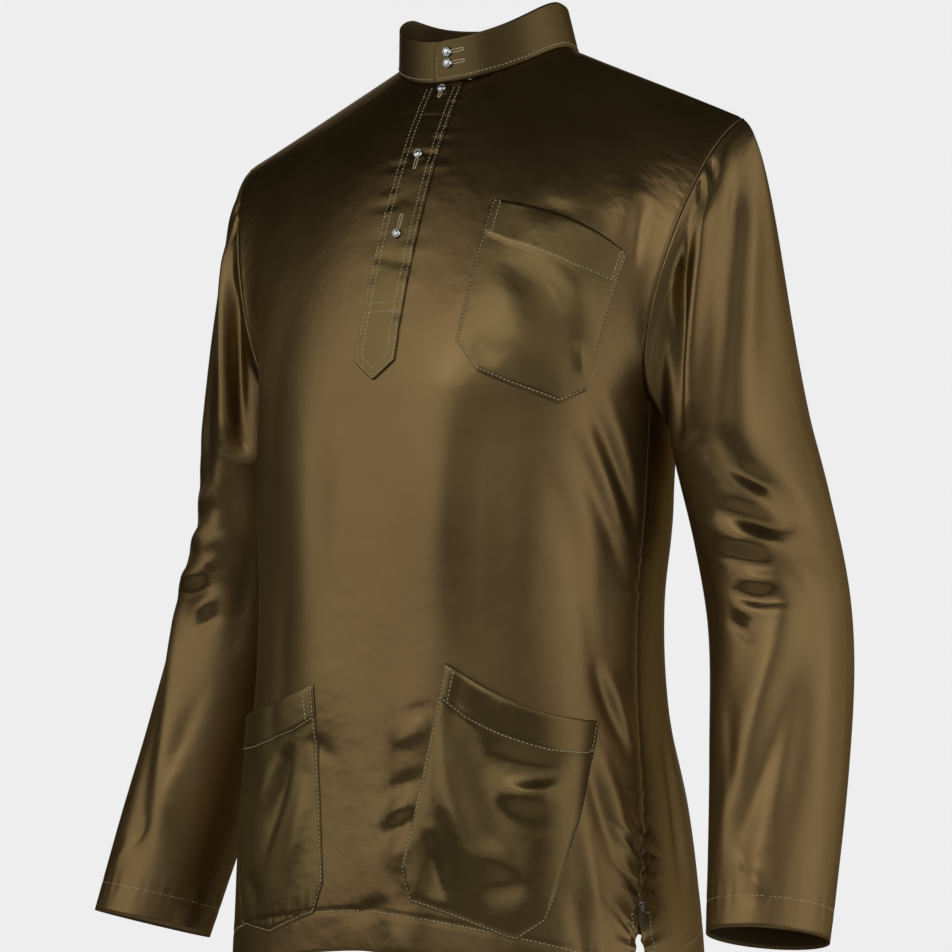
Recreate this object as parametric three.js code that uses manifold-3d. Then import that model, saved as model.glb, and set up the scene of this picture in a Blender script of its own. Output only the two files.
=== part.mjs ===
// A long-sleeved tunic with a stand collar, in its worn, hollow shape, in millimetres.
// +Z is up, the front faces -Y and +X is the wearer's left. The origin is the centre of the neck at the
// height where the shoulder seams meet the collar.
import * as THREE from 'three';
import { mergeVertices } from 'three/addons/utils/BufferGeometryUtils.js';
import Module from 'manifold-3d';

const wasm = await Module();
wasm.setup();

const cloth = { wall: 1.2, gap: 0.3, lift: 0.8, perAcross: 240, perDown: 430 };

// Torso sections from the underarm down: half width, depth in front of and behind the centre, and the
// side seam's angle in degrees from the front.
const torsoRows = [
  { z: -286, centre: -26, half: 172, front: 134, back: 122, seam: 86 },
  { z: -367, centre: -28, half: 167, front: 136, back: 130, seam: 87 },
  { z: -441, centre: -34, half: 162, front: 130, back: 126, seam: 88 },
  { z: -522, centre: -37, half: 166, front: 127, back: 130, seam: 86 },
  { z: -600, centre: -34, half: 180, front: 131, back: 136, seam: 79 },
  { z: -671, centre: -32, half: 190, front: 136, back: 140, seam: 72 },
  { z: -760, centre: -32, half: 197, front: 139, back: 143, seam: 69 },
];
const squareness = 0.05;
const hem = { front: -703, sideDrop: 45, droop: 1.5, vent: 72, ventHalf: 13, ventFlare: 1.2 };
const shoulder = { half: 235, y: -3, drop: 72, endSlope: -75 };
const neck = { half: 74, y: 6, rise: 17, frontCut: 0.37, backCut: 0.252 };

// How each panel leaves the shoulder ridge, at the centre and at the armhole, and how it arrives at the
// underarm line.
const yokes = {
  front: { centre: [0, -236, -18], arm: [-38, -150, -62], reach: 196, turn: [-30, 190, -105] },
  back: { centre: [0, 330, -10], arm: [-30, 150, -55], reach: 235, turn: [-30, -190, -105] },
};
const yokeEase = 1.1;
const yokeBlend = { leave: 2.2, arrive: 5 };

// Arm sections of each sleeve: centre, half width across and half depth front to back.
const sleeveRows = {
  left: [
    { z: -320, x: 226, y: 13, across: 48, deep: 70 },
    { z: -380, x: 240, y: 17, across: 51, deep: 63 },
    { z: -442, x: 252, y: 17, across: 53, deep: 58 },
    { z: -560, x: 266, y: -8, across: 52, deep: 53 },
    { z: -640, x: 273, y: -32, across: 48, deep: 49 },
    { z: -689, x: 277, y: -48, across: 45, deep: 47 },
  ],
  right: [
    { z: -320, x: 226, y: 11, across: 48, deep: 70 },
    { z: -380, x: 239, y: 13, across: 51, deep: 63 },
    { z: -442, x: 250, y: 12, across: 54, deep: 58 },
    { z: -560, x: 273, y: -10, across: 52, deep: 53 },
    { z: -640, x: 287, y: -34, across: 50, deep: 50 },
    { z: -706, x: 297, y: -54, across: 47, deep: 49 },
  ],
};
const cap = { top: [88, 0, -52], under: [18, 8, -40], topReach: 250, underReach: 50, length: 250 };
const sleeveTilt = { share: 0.8, step: 2 };
const forearmLength = 375;

// The largest folds. On the torso, across is 240 mm to a panel unit and down is 430; on a sleeve, across
// is degrees from the top seam towards the front and down is millimetres from the armhole.
const torsoFolds = [
  { side: 'front', across: 57, down: 440, toAcross: 62, toDown: 610, width: 26, height: 5 },
  { side: 'front', across: 92, down: 470, toAcross: 84, toDown: 600, width: 24, height: -4 },
  { side: 'front', across: 36, down: 690, toAcross: 34, toDown: 850, width: 17, height: 5 },
  { side: 'front', across: -60, down: 450, toAcross: -52, toDown: 640, width: 30, height: 4 },
  { side: 'front', across: -150, down: 500, toAcross: -165, toDown: 760, width: 26, height: 4 },
  { side: 'front', across: 200, down: 560, toAcross: 190, toDown: 700, width: 24, height: -4 },
  { side: 'back', across: -70, down: 430, toAcross: -95, toDown: 700, width: 30, height: -5 },
  { side: 'back', across: 60, down: 430, toAcross: 90, toDown: 690, width: 30, height: -5 },
  { side: 'back', across: 0, down: 470, toAcross: 6, toDown: 780, width: 30, height: 5 },
];
const sleeveFolds = [
  { across: 82, down: 70, toAcross: 96, toDown: 200, width: 14, height: 5 },
  { across: 106, down: 80, toAcross: 112, toDown: 210, width: 12, height: -6 },
  { across: 42, down: 90, toAcross: 64, toDown: 235, width: 15, height: -5 },
  { across: 24, down: 120, toAcross: 50, toDown: 225, width: 14, height: 4 },
  { across: 62, down: 268, toAcross: 38, toDown: 306, width: 12, height: -4 },
  { across: 76, down: 330, toAcross: 48, toDown: 352, width: 12, height: 4 },
  { across: 58, down: 392, toAcross: 100, toDown: 535, width: 15, height: 5 },
  { across: 60, down: 460, toAcross: 90, toDown: 550, width: 13, height: -4 },
  { across: 200, down: 330, toAcross: 240, toDown: 430, width: 18, height: 4 },
  { across: 290, down: 120, toAcross: 270, toDown: 260, width: 18, height: -4 },
];

const ridgeBlend = { from: 0.05, to: 0.45 };
const grid = { neckHalf: 6, shoulderHalf: 7, yokeRows: 12, skirtRows: 14, capRows: 5, armRows: 13 };
const collar = {
  front: 34, back: 38, depth: 62, wall: 2.2, outside: 0.9, taper: 5, lean: 8, over: 2.8, corner: 12,
};
const collarEnd = { over: -7, cornerTurns: [0, 1.2, 3.5], under: 372, coverTo: 20, restFrom: 50 };
const placket = { half: 17, top: 8, sideEnd: 406, tip: 418, rows: 14 };
const pocketWall = 1.2;
const pocketStops = [0, 0.17, 0.62, 0.9, 1];
const pocketColumns = [0, 0.085, 0.17, 0.32, 0.47, 0.62, 0.76, 0.9, 1];
const pocketRowCount = 9;
const bandEdge = { side: 0.006, top: 0.012, lift: 0.5 };

// Pocket outlines on the front: across and down of the top corners, the ends of the sides, the chamfers
// and the tip, how far the top edge bows down, and the depth of the folded top band.
const pockets = [
  {
    name: 'chest_pocket', band: 26, bow: -5,
    topInner: [73, 301], topOuter: [194, 320], sideInner: [63, 395], sideOuter: [170, 412],
    cornerInner: [81, 415], cornerOuter: [163, 428], tip: [141, 438],
  },
  {
    name: 'left_hip_pocket', band: 26, bow: 14,
    topInner: [63, 634], topOuter: [189, 664], sideInner: [34, 792], sideOuter: [152, 796],
    cornerInner: [42, 818], cornerOuter: [146, 814], tip: [124, 832],
  },
  {
    name: 'right_hip_pocket', band: 26, bow: 6,
    topInner: [-49, 653], topOuter: [-172, 668], sideInner: [-41, 806], sideOuter: [-152, 806],
    cornerInner: [-50, 830], cornerOuter: [-143, 830], tip: [-98, 841],
  },
];

const studSize = { radius: 4, rim: 1.4, bezel: 3.3, girdle: 1.9, table: 2.3, height: 3.1, sides: 12 };
const placketStuds = [173, 263, 329];
const collarStuds = { turn: 3.5, heights: [24, 15] };
const slider = { width: 5, deep: 2, long: 8, above: 8, lift: 0.5, overlap: 0.2 };
const bridge = { width: 1, leg: 1.9, bar: 0.8, half: 3.1 };
const tab = { width: 4.6, thick: 0.8, long: 15, eye: 2.2, eyeLong: 3.7, crossbar: 0.5 };

const colours = { cloth: 0x5a4b2d, clothDark: 0x4f4228, silver: 0xc9c9c6 };

const vec = (values) => new THREE.Vector3(...values);
const clamp = (value, low, high) => Math.min(high, Math.max(low, value));

function smoothstep(value, low, high) {
  const s = clamp((value - low) / (high - low), 0, 1);
  return s * s * (3 - 2 * s);
}

// Cubic from a to b that leaves along leave and arrives along arrive.
function hermite(a, leave, b, arrive, s) {
  return new THREE.Vector3()
    .addScaledVector(a, 2 * s ** 3 - 3 * s ** 2 + 1)
    .addScaledVector(leave, s ** 3 - 2 * s ** 2 + s)
    .addScaledVector(b, 3 * s ** 2 - 2 * s ** 3)
    .addScaledVector(arrive, s ** 3 - s ** 2);
}

function hermiteNumber(a, leave, b, arrive, s) {
  return (2 * s ** 3 - 3 * s ** 2 + 1) * a + (s ** 3 - 2 * s ** 2 + s) * leave
    + (3 * s ** 2 - 2 * s ** 3) * b + (s ** 3 - s ** 2) * arrive;
}

// Slope of one column of a table at row i: the parabola through the row and its neighbours.
function slopeAt(rows, name, i) {
  const last = rows.length - 1;
  if (i === 0 || i === last) {
    const k = i === 0 ? 0 : last - 1;
    return (rows[k + 1][name] - rows[k][name]) / (rows[k + 1].z - rows[k].z);
  }
  const before = rows[i].z - rows[i - 1].z;
  const after = rows[i + 1].z - rows[i].z;
  return (before ** 2 * rows[i + 1][name] + (after ** 2 - before ** 2) * rows[i][name]
    - after ** 2 * rows[i - 1][name]) / (before * after * (before + after));
}

// A table's columns at height z, by a smooth cubic between its rows.
function rowAt(rows, z) {
  const height = clamp(z, rows[rows.length - 1].z, rows[0].z);
  let i = 0;
  while (i < rows.length - 2 && rows[i + 1].z > height) i += 1;
  const span = rows[i + 1].z - rows[i].z;
  const s = (height - rows[i].z) / span;
  const result = {};
  for (const name of Object.keys(rows[i])) {
    const leave = slopeAt(rows, name, i) * span;
    const arrive = slopeAt(rows, name, i + 1) * span;
    result[name] = hermiteNumber(rows[i][name], leave, rows[i + 1][name], arrive, s);
  }
  return result;
}

// Height of the folds at a place on the cloth: each is a soft ridge or trough along a straight stretch.
// On a tube, period is the width at which across starts again.
function foldHeight(folds, across, down, period = Infinity) {
  let height = 0;
  for (const fold of folds) {
    const raw = across - fold.across;
    const apart = Number.isFinite(period) ? raw - period * Math.round(raw / period) : raw;
    const alongX = fold.toAcross - fold.across;
    const alongY = fold.toDown - fold.down;
    const part = (apart * alongX + (down - fold.down) * alongY)
      / (alongX ** 2 + alongY ** 2);
    const s = clamp(part, 0, 1);
    const far = Math.hypot(apart - s * alongX, down - fold.down - s * alongY);
    height += fold.height * Math.exp(-((far / fold.width) ** 2));
  }
  return height;
}

// Normal of a surface given as a function of two numbers, from small steps each way.
function normalOf(pointAt, a, b) {
  const step = 1e-3;
  const acrossStep = pointAt(a + step, b).sub(pointAt(a - step, b));
  const downStep = pointAt(a, b + step).sub(pointAt(a, b - step));
  return downStep.cross(acrossStep).normalize();
}

// Surface speed along one of its two numbers, in millimetres per unit.
function speedOf(pointAt, a, b, stepA, stepB) {
  const step = 1e-3;
  const ahead = pointAt(a + stepA * step, b + stepB * step);
  return ahead.distanceTo(pointAt(a - stepA * step, b - stepB * step)) / (2 * step);
}

function torsoRing(z, angle) {
  const row = rowAt(torsoRows, z);
  const deep = Math.cos(angle) > 0 ? row.front : row.back;
  const grow = 1 + squareness * Math.sin(2 * angle) ** 2;
  return new THREE.Vector3(
    row.half * Math.sin(angle) * grow,
    row.centre - deep * Math.cos(angle) * grow,
    z,
  );
}

// Skirt of a panel: t runs from 1 at the underarm line to 2 at the hem, which droops to the sides.
function skirtPoint(side, u, t) {
  const top = torsoRows[0].z;
  const bottom = hem.front - hem.sideDrop * Math.abs(u) ** hem.droop;
  const z = top + (bottom - top) * (t - 1);
  const seam = THREE.MathUtils.degToRad(rowAt(torsoRows, z).seam);
  return torsoRing(z, side === 'front' ? u * seam : Math.PI - u * (Math.PI - seam));
}

const neckU = neck.half / shoulder.half;

// The shoulder line from arm to arm, carried on over the neck, where it is later cut away.
function ridgePoint(u) {
  const x = shoulder.half * u;
  const curve = neck.rise / neck.half ** 2;
  const outerLength = shoulder.half - neck.half;
  const r = clamp((Math.abs(u) - neckU) / (1 - neckU), 0, 1);
  const leave = -2 * curve * neck.half * outerLength;
  const z = Math.abs(u) < neckU
    ? neck.rise - curve * x ** 2
    : hermiteNumber(0, leave, -shoulder.drop, shoulder.endSlope, r);
  return new THREE.Vector3(x, neck.y + (shoulder.y - neck.y) * u ** 2, z);
}

function yokePoint(side, u, s) {
  const yoke = yokes[side];
  const edge = Math.abs(u);
  const mirror = new THREE.Vector3(Math.sign(u) || 1, 1, 1);
  const end = skirtPoint(side, u, 1);
  const down = skirtPoint(side, u, 1.001).sub(end).normalize().multiplyScalar(yoke.reach);
  const leave = vec(yoke.centre).lerp(vec(yoke.arm), edge ** yokeBlend.leave).multiply(mirror);
  const arrive = down.lerp(vec(yoke.turn).multiply(mirror), edge ** yokeBlend.arrive);
  return hermite(ridgePoint(u), leave, end, arrive, s);
}

// A torso panel's surface: u runs across from -1 to 1, t from 0 at the shoulder line to 2 at the hem.
function torsoSmooth(side, u, t) {
  if (t >= 1) return skirtPoint(side, u, t);
  const c = Math.max(t, 0);
  return yokePoint(side, u, c - yokeEase * c ** 2 * (1 - c));
}

const foldsOf = {
  front: torsoFolds.filter((fold) => fold.side === 'front'),
  back: torsoFolds.filter((fold) => fold.side === 'back'),
};

function torsoPoint(side, u, t) {
  const smooth = (a, b) => torsoSmooth(side, a, b);
  const sense = side === 'front' ? 1 : -1;
  const height = foldHeight(foldsOf[side], u * cloth.perAcross, t * cloth.perDown);
  return smooth(u, t).addScaledVector(normalOf(smooth, u, t), height * sense);
}

function torsoNormal(side, u, t) {
  const normal = normalOf((a, b) => torsoPoint(side, a, b), u, t);
  return side === 'front' ? normal : normal.negate();
}

// The armhole seam of an arm, from the shoulder down the front edge and up the back edge.
function armholePoint(arm, theta) {
  const u = arm === 'left' ? 1 : -1;
  const turn = (((theta / Math.PI) % 2) + 2) % 2;
  return turn <= 1 ? torsoPoint('front', u, turn) : torsoPoint('back', u, 2 - turn);
}

function sleeveRing(arm, z, theta) {
  const rows = sleeveRows[arm];
  const row = rowAt(rows, z);
  const { share, step } = sleeveTilt;
  const near = clamp(z, rows[rows.length - 1].z + step, rows[0].z - step);
  const above = rowAt(rows, near + step);
  const below = rowAt(rows, near - step);
  const x = row.across * Math.cos(theta);
  const y = -row.deep * Math.sin(theta);
  const rise = (below.x - above.x) * x + (below.y - above.y) * y;
  return new THREE.Vector3(row.x + x, row.y + y, z + (share * rise) / (2 * step));
}

// A sleeve's surface: theta runs round from the shoulder towards the front; v from 0 at the armhole to 1
// at the end of the cap and 2 at the cuff.
function sleeveSmooth(arm, theta, v) {
  const rows = sleeveRows[arm];
  const mirror = new THREE.Vector3(arm === 'left' ? 1 : -1, 1, 1);
  const z = rows[0].z + (rows[rows.length - 1].z - rows[0].z) * Math.max(v - 1, 0);
  const ring = sleeveRing(arm, z, theta);
  if (v >= 1) return ring.multiply(mirror);
  const start = armholePoint(arm, theta).multiply(mirror);
  const down = sleeveRing(arm, z - sleeveTilt.step, theta).sub(ring).normalize();
  const upper = 0.5 + 0.5 * Math.cos(theta);
  const leave = vec(cap.under).lerp(vec(cap.top), upper);
  down.multiplyScalar(cap.underReach + (cap.topReach - cap.underReach) * upper);
  return hermite(start, leave, ring, down, Math.max(v, 0)).multiply(mirror);
}

function sleevePoint(arm, theta, v) {
  const smooth = (a, b) => sleeveSmooth(arm, a, b);
  const across = THREE.MathUtils.radToDeg(theta);
  const down = v < 1 ? cap.length * v : cap.length + forearmLength * (v - 1);
  const sense = arm === 'left' ? -1 : 1;
  const height = foldHeight(sleeveFolds, across, down, 360) * sense;
  return smooth(theta, v).addScaledVector(normalOf(smooth, theta, v), height);
}

function sleeveNormal(arm, theta, v) {
  const normal = normalOf((a, b) => sleevePoint(arm, a, b), theta, v);
  return arm === 'left' ? normal.negate() : normal;
}

// Where two pieces meet in a ridge they share one direction for their thickness.
function sharedNormal(own, other) {
  return own.clone().addScaledVector(other, smoothstep(own.dot(other), ridgeBlend.from, ridgeBlend.to)).normalize();
}

// Direction of a torso panel's thickness, shared with the piece across each seam.
function torsoSeamNormal(side, u, t) {
  const own = torsoNormal(side, u, t);
  const other = side === 'front' ? 'back' : 'front';
  const onShoulder = t === 0 && Math.abs(u) >= neckU - 1e-9;
  const onSide = Math.abs(u) === 1 && t >= 1;
  if (onShoulder || onSide) own.add(torsoNormal(other, u, t)).normalize();
  if (Math.abs(u) < 1 || t >= 1) return own;
  const arm = u > 0 ? 'left' : 'right';
  const theta = side === 'front' ? t * Math.PI : (2 - t) * Math.PI;
  return sharedNormal(own, sleeveNormal(arm, theta, 0.002));
}

function sleeveSeamNormal(arm, theta) {
  const turn = theta / Math.PI;
  const side = turn <= 1 ? 'front' : 'back';
  const t = turn <= 1 ? turn : 2 - turn;
  const u = arm === 'left' ? 1 : -1;
  const torso = torsoNormal(side, u, Math.min(t, 0.999));
  if (t === 0) torso.add(torsoNormal('back', u, 0)).normalize();
  return sharedNormal(sleeveNormal(arm, theta, 0.002), torso);
}

// Closed body from rows of [outer, inner] point pairs; around joins each row's last pair to its first.
function wallGeometry(rows, around = false) {
  const positions = [];
  for (const layer of [0, 1]) {
    for (const row of rows) {
      for (const pair of row) positions.push(...pair[layer].toArray());
    }
  }
  const count = rows[0].length;
  const at = (layer, j, i) => (layer * rows.length + j) * count + (i % count);
  const faces = [];
  const quad = (a, b, c, d) => faces.push([a, b, c], [a, c, d]);
  const spans = around ? count : count - 1;
  const last = rows.length - 1;
  for (let i = 0; i < spans; i += 1) {
    for (let j = 0; j < last; j += 1) {
      quad(at(0, j, i), at(0, j + 1, i), at(0, j + 1, i + 1), at(0, j, i + 1));
      quad(at(1, j, i), at(1, j, i + 1), at(1, j + 1, i + 1), at(1, j + 1, i));
    }
    quad(at(0, 0, i), at(0, 0, i + 1), at(1, 0, i + 1), at(1, 0, i));
    quad(at(0, last, i), at(1, last, i), at(1, last, i + 1), at(0, last, i + 1));
  }
  for (let j = 0; j < last && !around; j += 1) {
    quad(at(0, j, 0), at(1, j, 0), at(1, j + 1, 0), at(0, j + 1, 0));
    quad(at(0, j, spans), at(0, j + 1, spans), at(1, j + 1, spans), at(1, j, spans));
  }
  const corner = (k) => new THREE.Vector3().fromArray(positions, 3 * k);
  const volume = faces.reduce((sum, [a, b, c]) => sum + corner(a).dot(corner(b).cross(corner(c))), 0);
  const geometry = new THREE.BufferGeometry();
  geometry.setAttribute('position', new THREE.Float32BufferAttribute(positions, 3));
  geometry.setIndex((volume > 0 ? faces : faces.map(([a, b, c]) => [a, c, b])).flat());
  geometry.computeVertexNormals();
  return geometry;
}

const garment = new THREE.Group();

function addPiece(name, geometry, colour, roughness, metalness = 0) {
  const material = new THREE.MeshStandardMaterial({ color: colour, roughness, metalness });
  const mesh = new THREE.Mesh(geometry, material);
  mesh.name = name;
  garment.add(mesh);
  return mesh;
}

// Panel columns: equal turns round the neck, then equal steps along the shoulder.
function panelColumns() {
  const columns = [];
  for (let k = grid.shoulderHalf; k > 0; k -= 1) {
    columns.push(-neckU - ((1 - neckU) * k) / grid.shoulderHalf);
  }
  for (let k = -grid.neckHalf; k <= grid.neckHalf; k += 1) {
    columns.push(neckU * Math.sin((k / grid.neckHalf) * (Math.PI / 2)));
  }
  for (let k = 1; k <= grid.shoulderHalf; k += 1) {
    columns.push(k === grid.shoulderHalf ? 1 : neckU + ((1 - neckU) * k) / grid.shoulderHalf);
  }
  columns[0] = -1;
  return columns;
}

// Where the neckline crosses a column.
function neckCutAt(side, u) {
  const cut = side === 'front' ? neck.frontCut : neck.backCut;
  return cut * Math.sqrt(Math.max(1 - (u / neckU) ** 2, 0));
}

// How far a panel's side edge draws back from its seam at t: half the seam's gap, then the open vent.
function sideInset(side, t) {
  const z = torsoSmooth(side, 1, t).z;
  const ventTop = hem.front - hem.sideDrop + hem.vent;
  const open = t > 1 ? clamp((ventTop - z) / hem.vent, 0, 1) : 0;
  return cloth.gap / 2 + hem.ventHalf * open ** hem.ventFlare;
}

function panelGeometry(side) {
  const columns = panelColumns();
  const rows = [];
  for (let j = 0; j <= grid.yokeRows + grid.skirtRows; j += 1) {
    const v = j <= grid.yokeRows ? j / grid.yokeRows : 1 + (j - grid.yokeRows) / grid.skirtRows;
    rows.push(columns.map((u) => {
      const keep = v < 1 ? (1 - v) ** 2 : 0;
      const t = v + neckCutAt(side, u) * keep;
      const normal = torsoSeamNormal(side, u, t);
      const point = (a, b) => torsoPoint(side, a, b);
      let edgeU = u;
      let edgeT = t;
      if (Math.abs(u) === 1) edgeU -= Math.sign(u) * sideInset(side, t) / speedOf(point, u, t, 1, 0);
      if (t === 0) edgeT += cloth.gap / 2 / speedOf(point, u, 0.002, 0, 1);
      const outer = point(edgeU, edgeT);
      return [outer, outer.clone().addScaledVector(normal, -cloth.wall)];
    }));
  }
  return wallGeometry(rows);
}

// A sleeve's columns stand at the panels' armhole points, so that the two edges run side by side.
function sleeveGeometry(arm) {
  const turns = [];
  for (let j = 0; j < 2 * grid.yokeRows; j += 1) turns.push((j / grid.yokeRows) * Math.PI);
  const rows = [];
  for (let k = 0; k <= grid.capRows + grid.armRows; k += 1) {
    const v = k <= grid.capRows ? k / grid.capRows : 1 + (k - grid.capRows) / grid.armRows;
    rows.push(turns.map((theta) => {
      const point = (a, b) => sleevePoint(arm, a, b);
      const start = v === 0 ? cloth.gap / 2 / speedOf(point, theta, 0.002, 0, 1) : 0;
      const normal = v === 0 ? sleeveSeamNormal(arm, theta) : sleeveNormal(arm, theta, v);
      const outer = point(theta, v + start);
      return [outer, outer.clone().addScaledVector(normal, -cloth.wall)];
    }));
  }
  return wallGeometry(rows, true);
}

// A point of the neckline: turn in degrees from the front centre towards +X and round the back.
function neckPoint(turn) {
  const angle = THREE.MathUtils.degToRad(turn);
  const side = Math.cos(angle) > 0 ? 'front' : 'back';
  const u = neckU * Math.sin(angle);
  return torsoPoint(side, u, neckCutAt(side, u));
}

// The neckline as the panels' straight edges between their columns.
function neckEdge(turn) {
  const step = 90 / grid.neckHalf;
  const before = Math.floor(turn / step) * step;
  return neckPoint(before).lerp(neckPoint(before + step), (turn - before) / step);
}

// A point of the collar: h from 0 at the seam to 1 at the top edge, out in millimetres from the neckline.
function collarPoint(turn, h, out) {
  const angle = THREE.MathUtils.degToRad(turn);
  const sine = Math.sin(angle);
  const cosine = Math.cos(angle);
  const full = collar.front + (collar.back - collar.front) * (0.5 - 0.5 * cosine);
  const fromEnd = THREE.MathUtils.degToRad(turn - collarEnd.over) * neck.half;
  const short = Math.max(collar.corner - fromEnd, 0);
  const height = full - collar.corner + Math.sqrt(Math.max(collar.corner ** 2 - short ** 2, 0));
  const covered = 1 - smoothstep(turn, collarEnd.coverTo, collarEnd.restFrom);
  const outward = new THREE.Vector3(sine / neck.half, -cosine / collar.depth, 0).normalize();
  const rise = (h * height) / full;
  return neckEdge(turn)
    .add(new THREE.Vector3(
      -collar.taper * sine * rise,
      (collar.taper * cosine - collar.lean) * rise,
      cloth.gap + (height - cloth.gap) * h,
    ))
    .addScaledVector(outward, out + collar.over * covered);
}

function collarGeometry() {
  const turns = collarEnd.cornerTurns.map((turn) => collarEnd.over + turn);
  for (let turn = 0; turn < collarEnd.under; turn += 90 / grid.neckHalf / 2) turns.push(turn);
  turns.push(collarEnd.under);
  const rows = [0, 1 / 3, 2 / 3, 1].map((h) => turns.map((turn) => [
    collarPoint(turn, h, collar.outside),
    collarPoint(turn, h, collar.outside - collar.wall),
  ]));
  return wallGeometry(rows);
}

// A point on the front cloth, at across and down in cloth millimetres, moved out by a height.
function onFront(across, down, height) {
  const u = across / cloth.perAcross;
  const t = down / cloth.perDown;
  return torsoPoint('front', u, t).addScaledVector(torsoNormal('front', u, t), height);
}

function placketGeometry() {
  const neckDown = neck.frontCut * cloth.perDown + placket.top;
  const rows = [];
  for (let j = 0; j <= placket.rows; j += 1) {
    rows.push([-1, 0, 1].map((p) => {
      const end = placket.tip - (placket.tip - placket.sideEnd) * Math.abs(p);
      const down = neckDown + ((end - neckDown) * j) / placket.rows;
      const across = p * placket.half;
      return [onFront(across, down, cloth.lift + cloth.wall), onFront(across, down, cloth.lift)];
    }));
  }
  return wallGeometry(rows);
}

const mix = (a, b, s) => [a[0] + (b[0] - a[0]) * s, a[1] + (b[1] - a[1]) * s];

// A place on a pocket: p runs from the inner side to the outer, q from the top edge to the bottom.
function pocketPlace(pocket, p, q) {
  const [across, down] = mix(pocket.topInner, pocket.topOuter, p);
  const top = [across, down + pocket.bow * 4 * p * (1 - p)];
  const outline = [pocket.sideInner, pocket.cornerInner, pocket.tip, pocket.cornerOuter, pocket.sideOuter];
  const last = pocketStops.length - 2;
  const k = Math.min(pocketStops.findLastIndex((stop) => stop <= p + 1e-9), last);
  const part = (p - pocketStops[k]) / (pocketStops[k + 1] - pocketStops[k]);
  const bottom = mix(outline[k], outline[k + 1], part);
  return mix(top, bottom, q);
}

function pocketGeometry(pocket) {
  const rows = [];
  for (let j = 0; j <= pocketRowCount; j += 1) {
    rows.push(pocketColumns.map((p) => {
      const [across, down] = pocketPlace(pocket, p, j / pocketRowCount);
      return [onFront(across, down, cloth.lift + pocketWall), onFront(across, down, cloth.lift)];
    }));
  }
  return wallGeometry(rows);
}

// The folded band lies on the pocket's top, a little in from its edges.
function bandGeometry(pocket) {
  const base = cloth.lift + pocketWall + bandEdge.lift;
  const long = pocket.sideInner[1] - pocket.topInner[1];
  const rows = [bandEdge.top, pocket.band / long / 2, pocket.band / long].map((q) => (
    pocketColumns.map((p) => {
      const [across, down] = pocketPlace(pocket, bandEdge.side + (1 - 2 * bandEdge.side) * p, q);
      return [onFront(across, down, base + pocketWall), onFront(across, down, base)];
    })
  ));
  return wallGeometry(rows);
}

// A stud head: a round foot, a bezel and a cut stone, standing on its +Y side.
function studGeometry() {
  const profile = [
    [0, 0], [studSize.radius, 0], [studSize.radius, studSize.rim], [studSize.bezel, studSize.girdle],
    [studSize.table, studSize.height], [0, studSize.height],
  ].map(([x, y]) => new THREE.Vector2(x, y));
  return new THREE.LatheGeometry(profile, studSize.sides);
}

function addStud(name, place, normal) {
  const stud = addPiece(name, studGeometry(), colours.silver, 0.25, 0.9);
  stud.position.copy(place);
  stud.quaternion.setFromUnitVectors(new THREE.Vector3(0, 1, 0), normal);
}

function solidOf(geometry) {
  const bare = geometry.index ? geometry.toNonIndexed() : geometry.clone();
  bare.deleteAttribute('normal');
  bare.deleteAttribute('uv');
  const merged = mergeVertices(bare);
  return new wasm.Manifold(new wasm.Mesh({
    numProp: 3,
    vertProperties: merged.attributes.position.array,
    triVerts: new Uint32Array(merged.index.array),
  }));
}

function geometryOf(solid) {
  const mesh = solid.getMesh();
  const geometry = new THREE.BufferGeometry();
  geometry.setAttribute('position', new THREE.BufferAttribute(mesh.vertProperties, 3));
  geometry.setIndex(new THREE.BufferAttribute(mesh.triVerts, 1));
  return geometry;
}

// Zip slider: a plate with a bridge over it; +Y is out from the cloth and +Z up the seam.
function sliderGeometry() {
  const box = (x, y, z, cy, cz) => solidOf(new THREE.BoxGeometry(x, y, z).translate(0, cy, cz));
  const legY = slider.deep + bridge.leg / 2;
  const legZ = bridge.half - bridge.width / 2;
  const barY = slider.deep + bridge.leg + bridge.bar / 2;
  return geometryOf(
    box(slider.width, slider.deep, slider.long, slider.deep / 2, 0)
      .add(box(bridge.width, bridge.leg + 2 * slider.overlap, bridge.width, legY, legZ))
      .add(box(bridge.width, bridge.leg + 2 * slider.overlap, bridge.width, legY, -legZ))
      .add(box(bridge.width, bridge.bar, 2 * bridge.half, barY, 0)),
  );
}

// Pull tab: a flat plate whose eye rides on the slider's bridge; it hangs from the crossbar's centre.
function tabGeometry() {
  const half = tab.width / 2;
  const outline = new THREE.Shape();
  outline.moveTo(-half, tab.crossbar);
  outline.lineTo(-half, -tab.long + half);
  outline.absarc(0, -tab.long + half, half, Math.PI, 2 * Math.PI, false);
  outline.lineTo(half, tab.crossbar);
  outline.closePath();
  const eye = new THREE.Path();
  eye.moveTo(-tab.eye / 2, -tab.crossbar);
  eye.lineTo(tab.eye / 2, -tab.crossbar);
  eye.lineTo(tab.eye / 2, -tab.crossbar - tab.eyeLong);
  eye.lineTo(-tab.eye / 2, -tab.crossbar - tab.eyeLong);
  eye.closePath();
  outline.holes.push(eye);
  const options = { depth: tab.thick, bevelEnabled: false, curveSegments: 8 };
  return new THREE.ExtrudeGeometry(outline, options)
    .translate(0, 0, -tab.thick / 2)
    .rotateX(Math.PI / 2);
}

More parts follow.
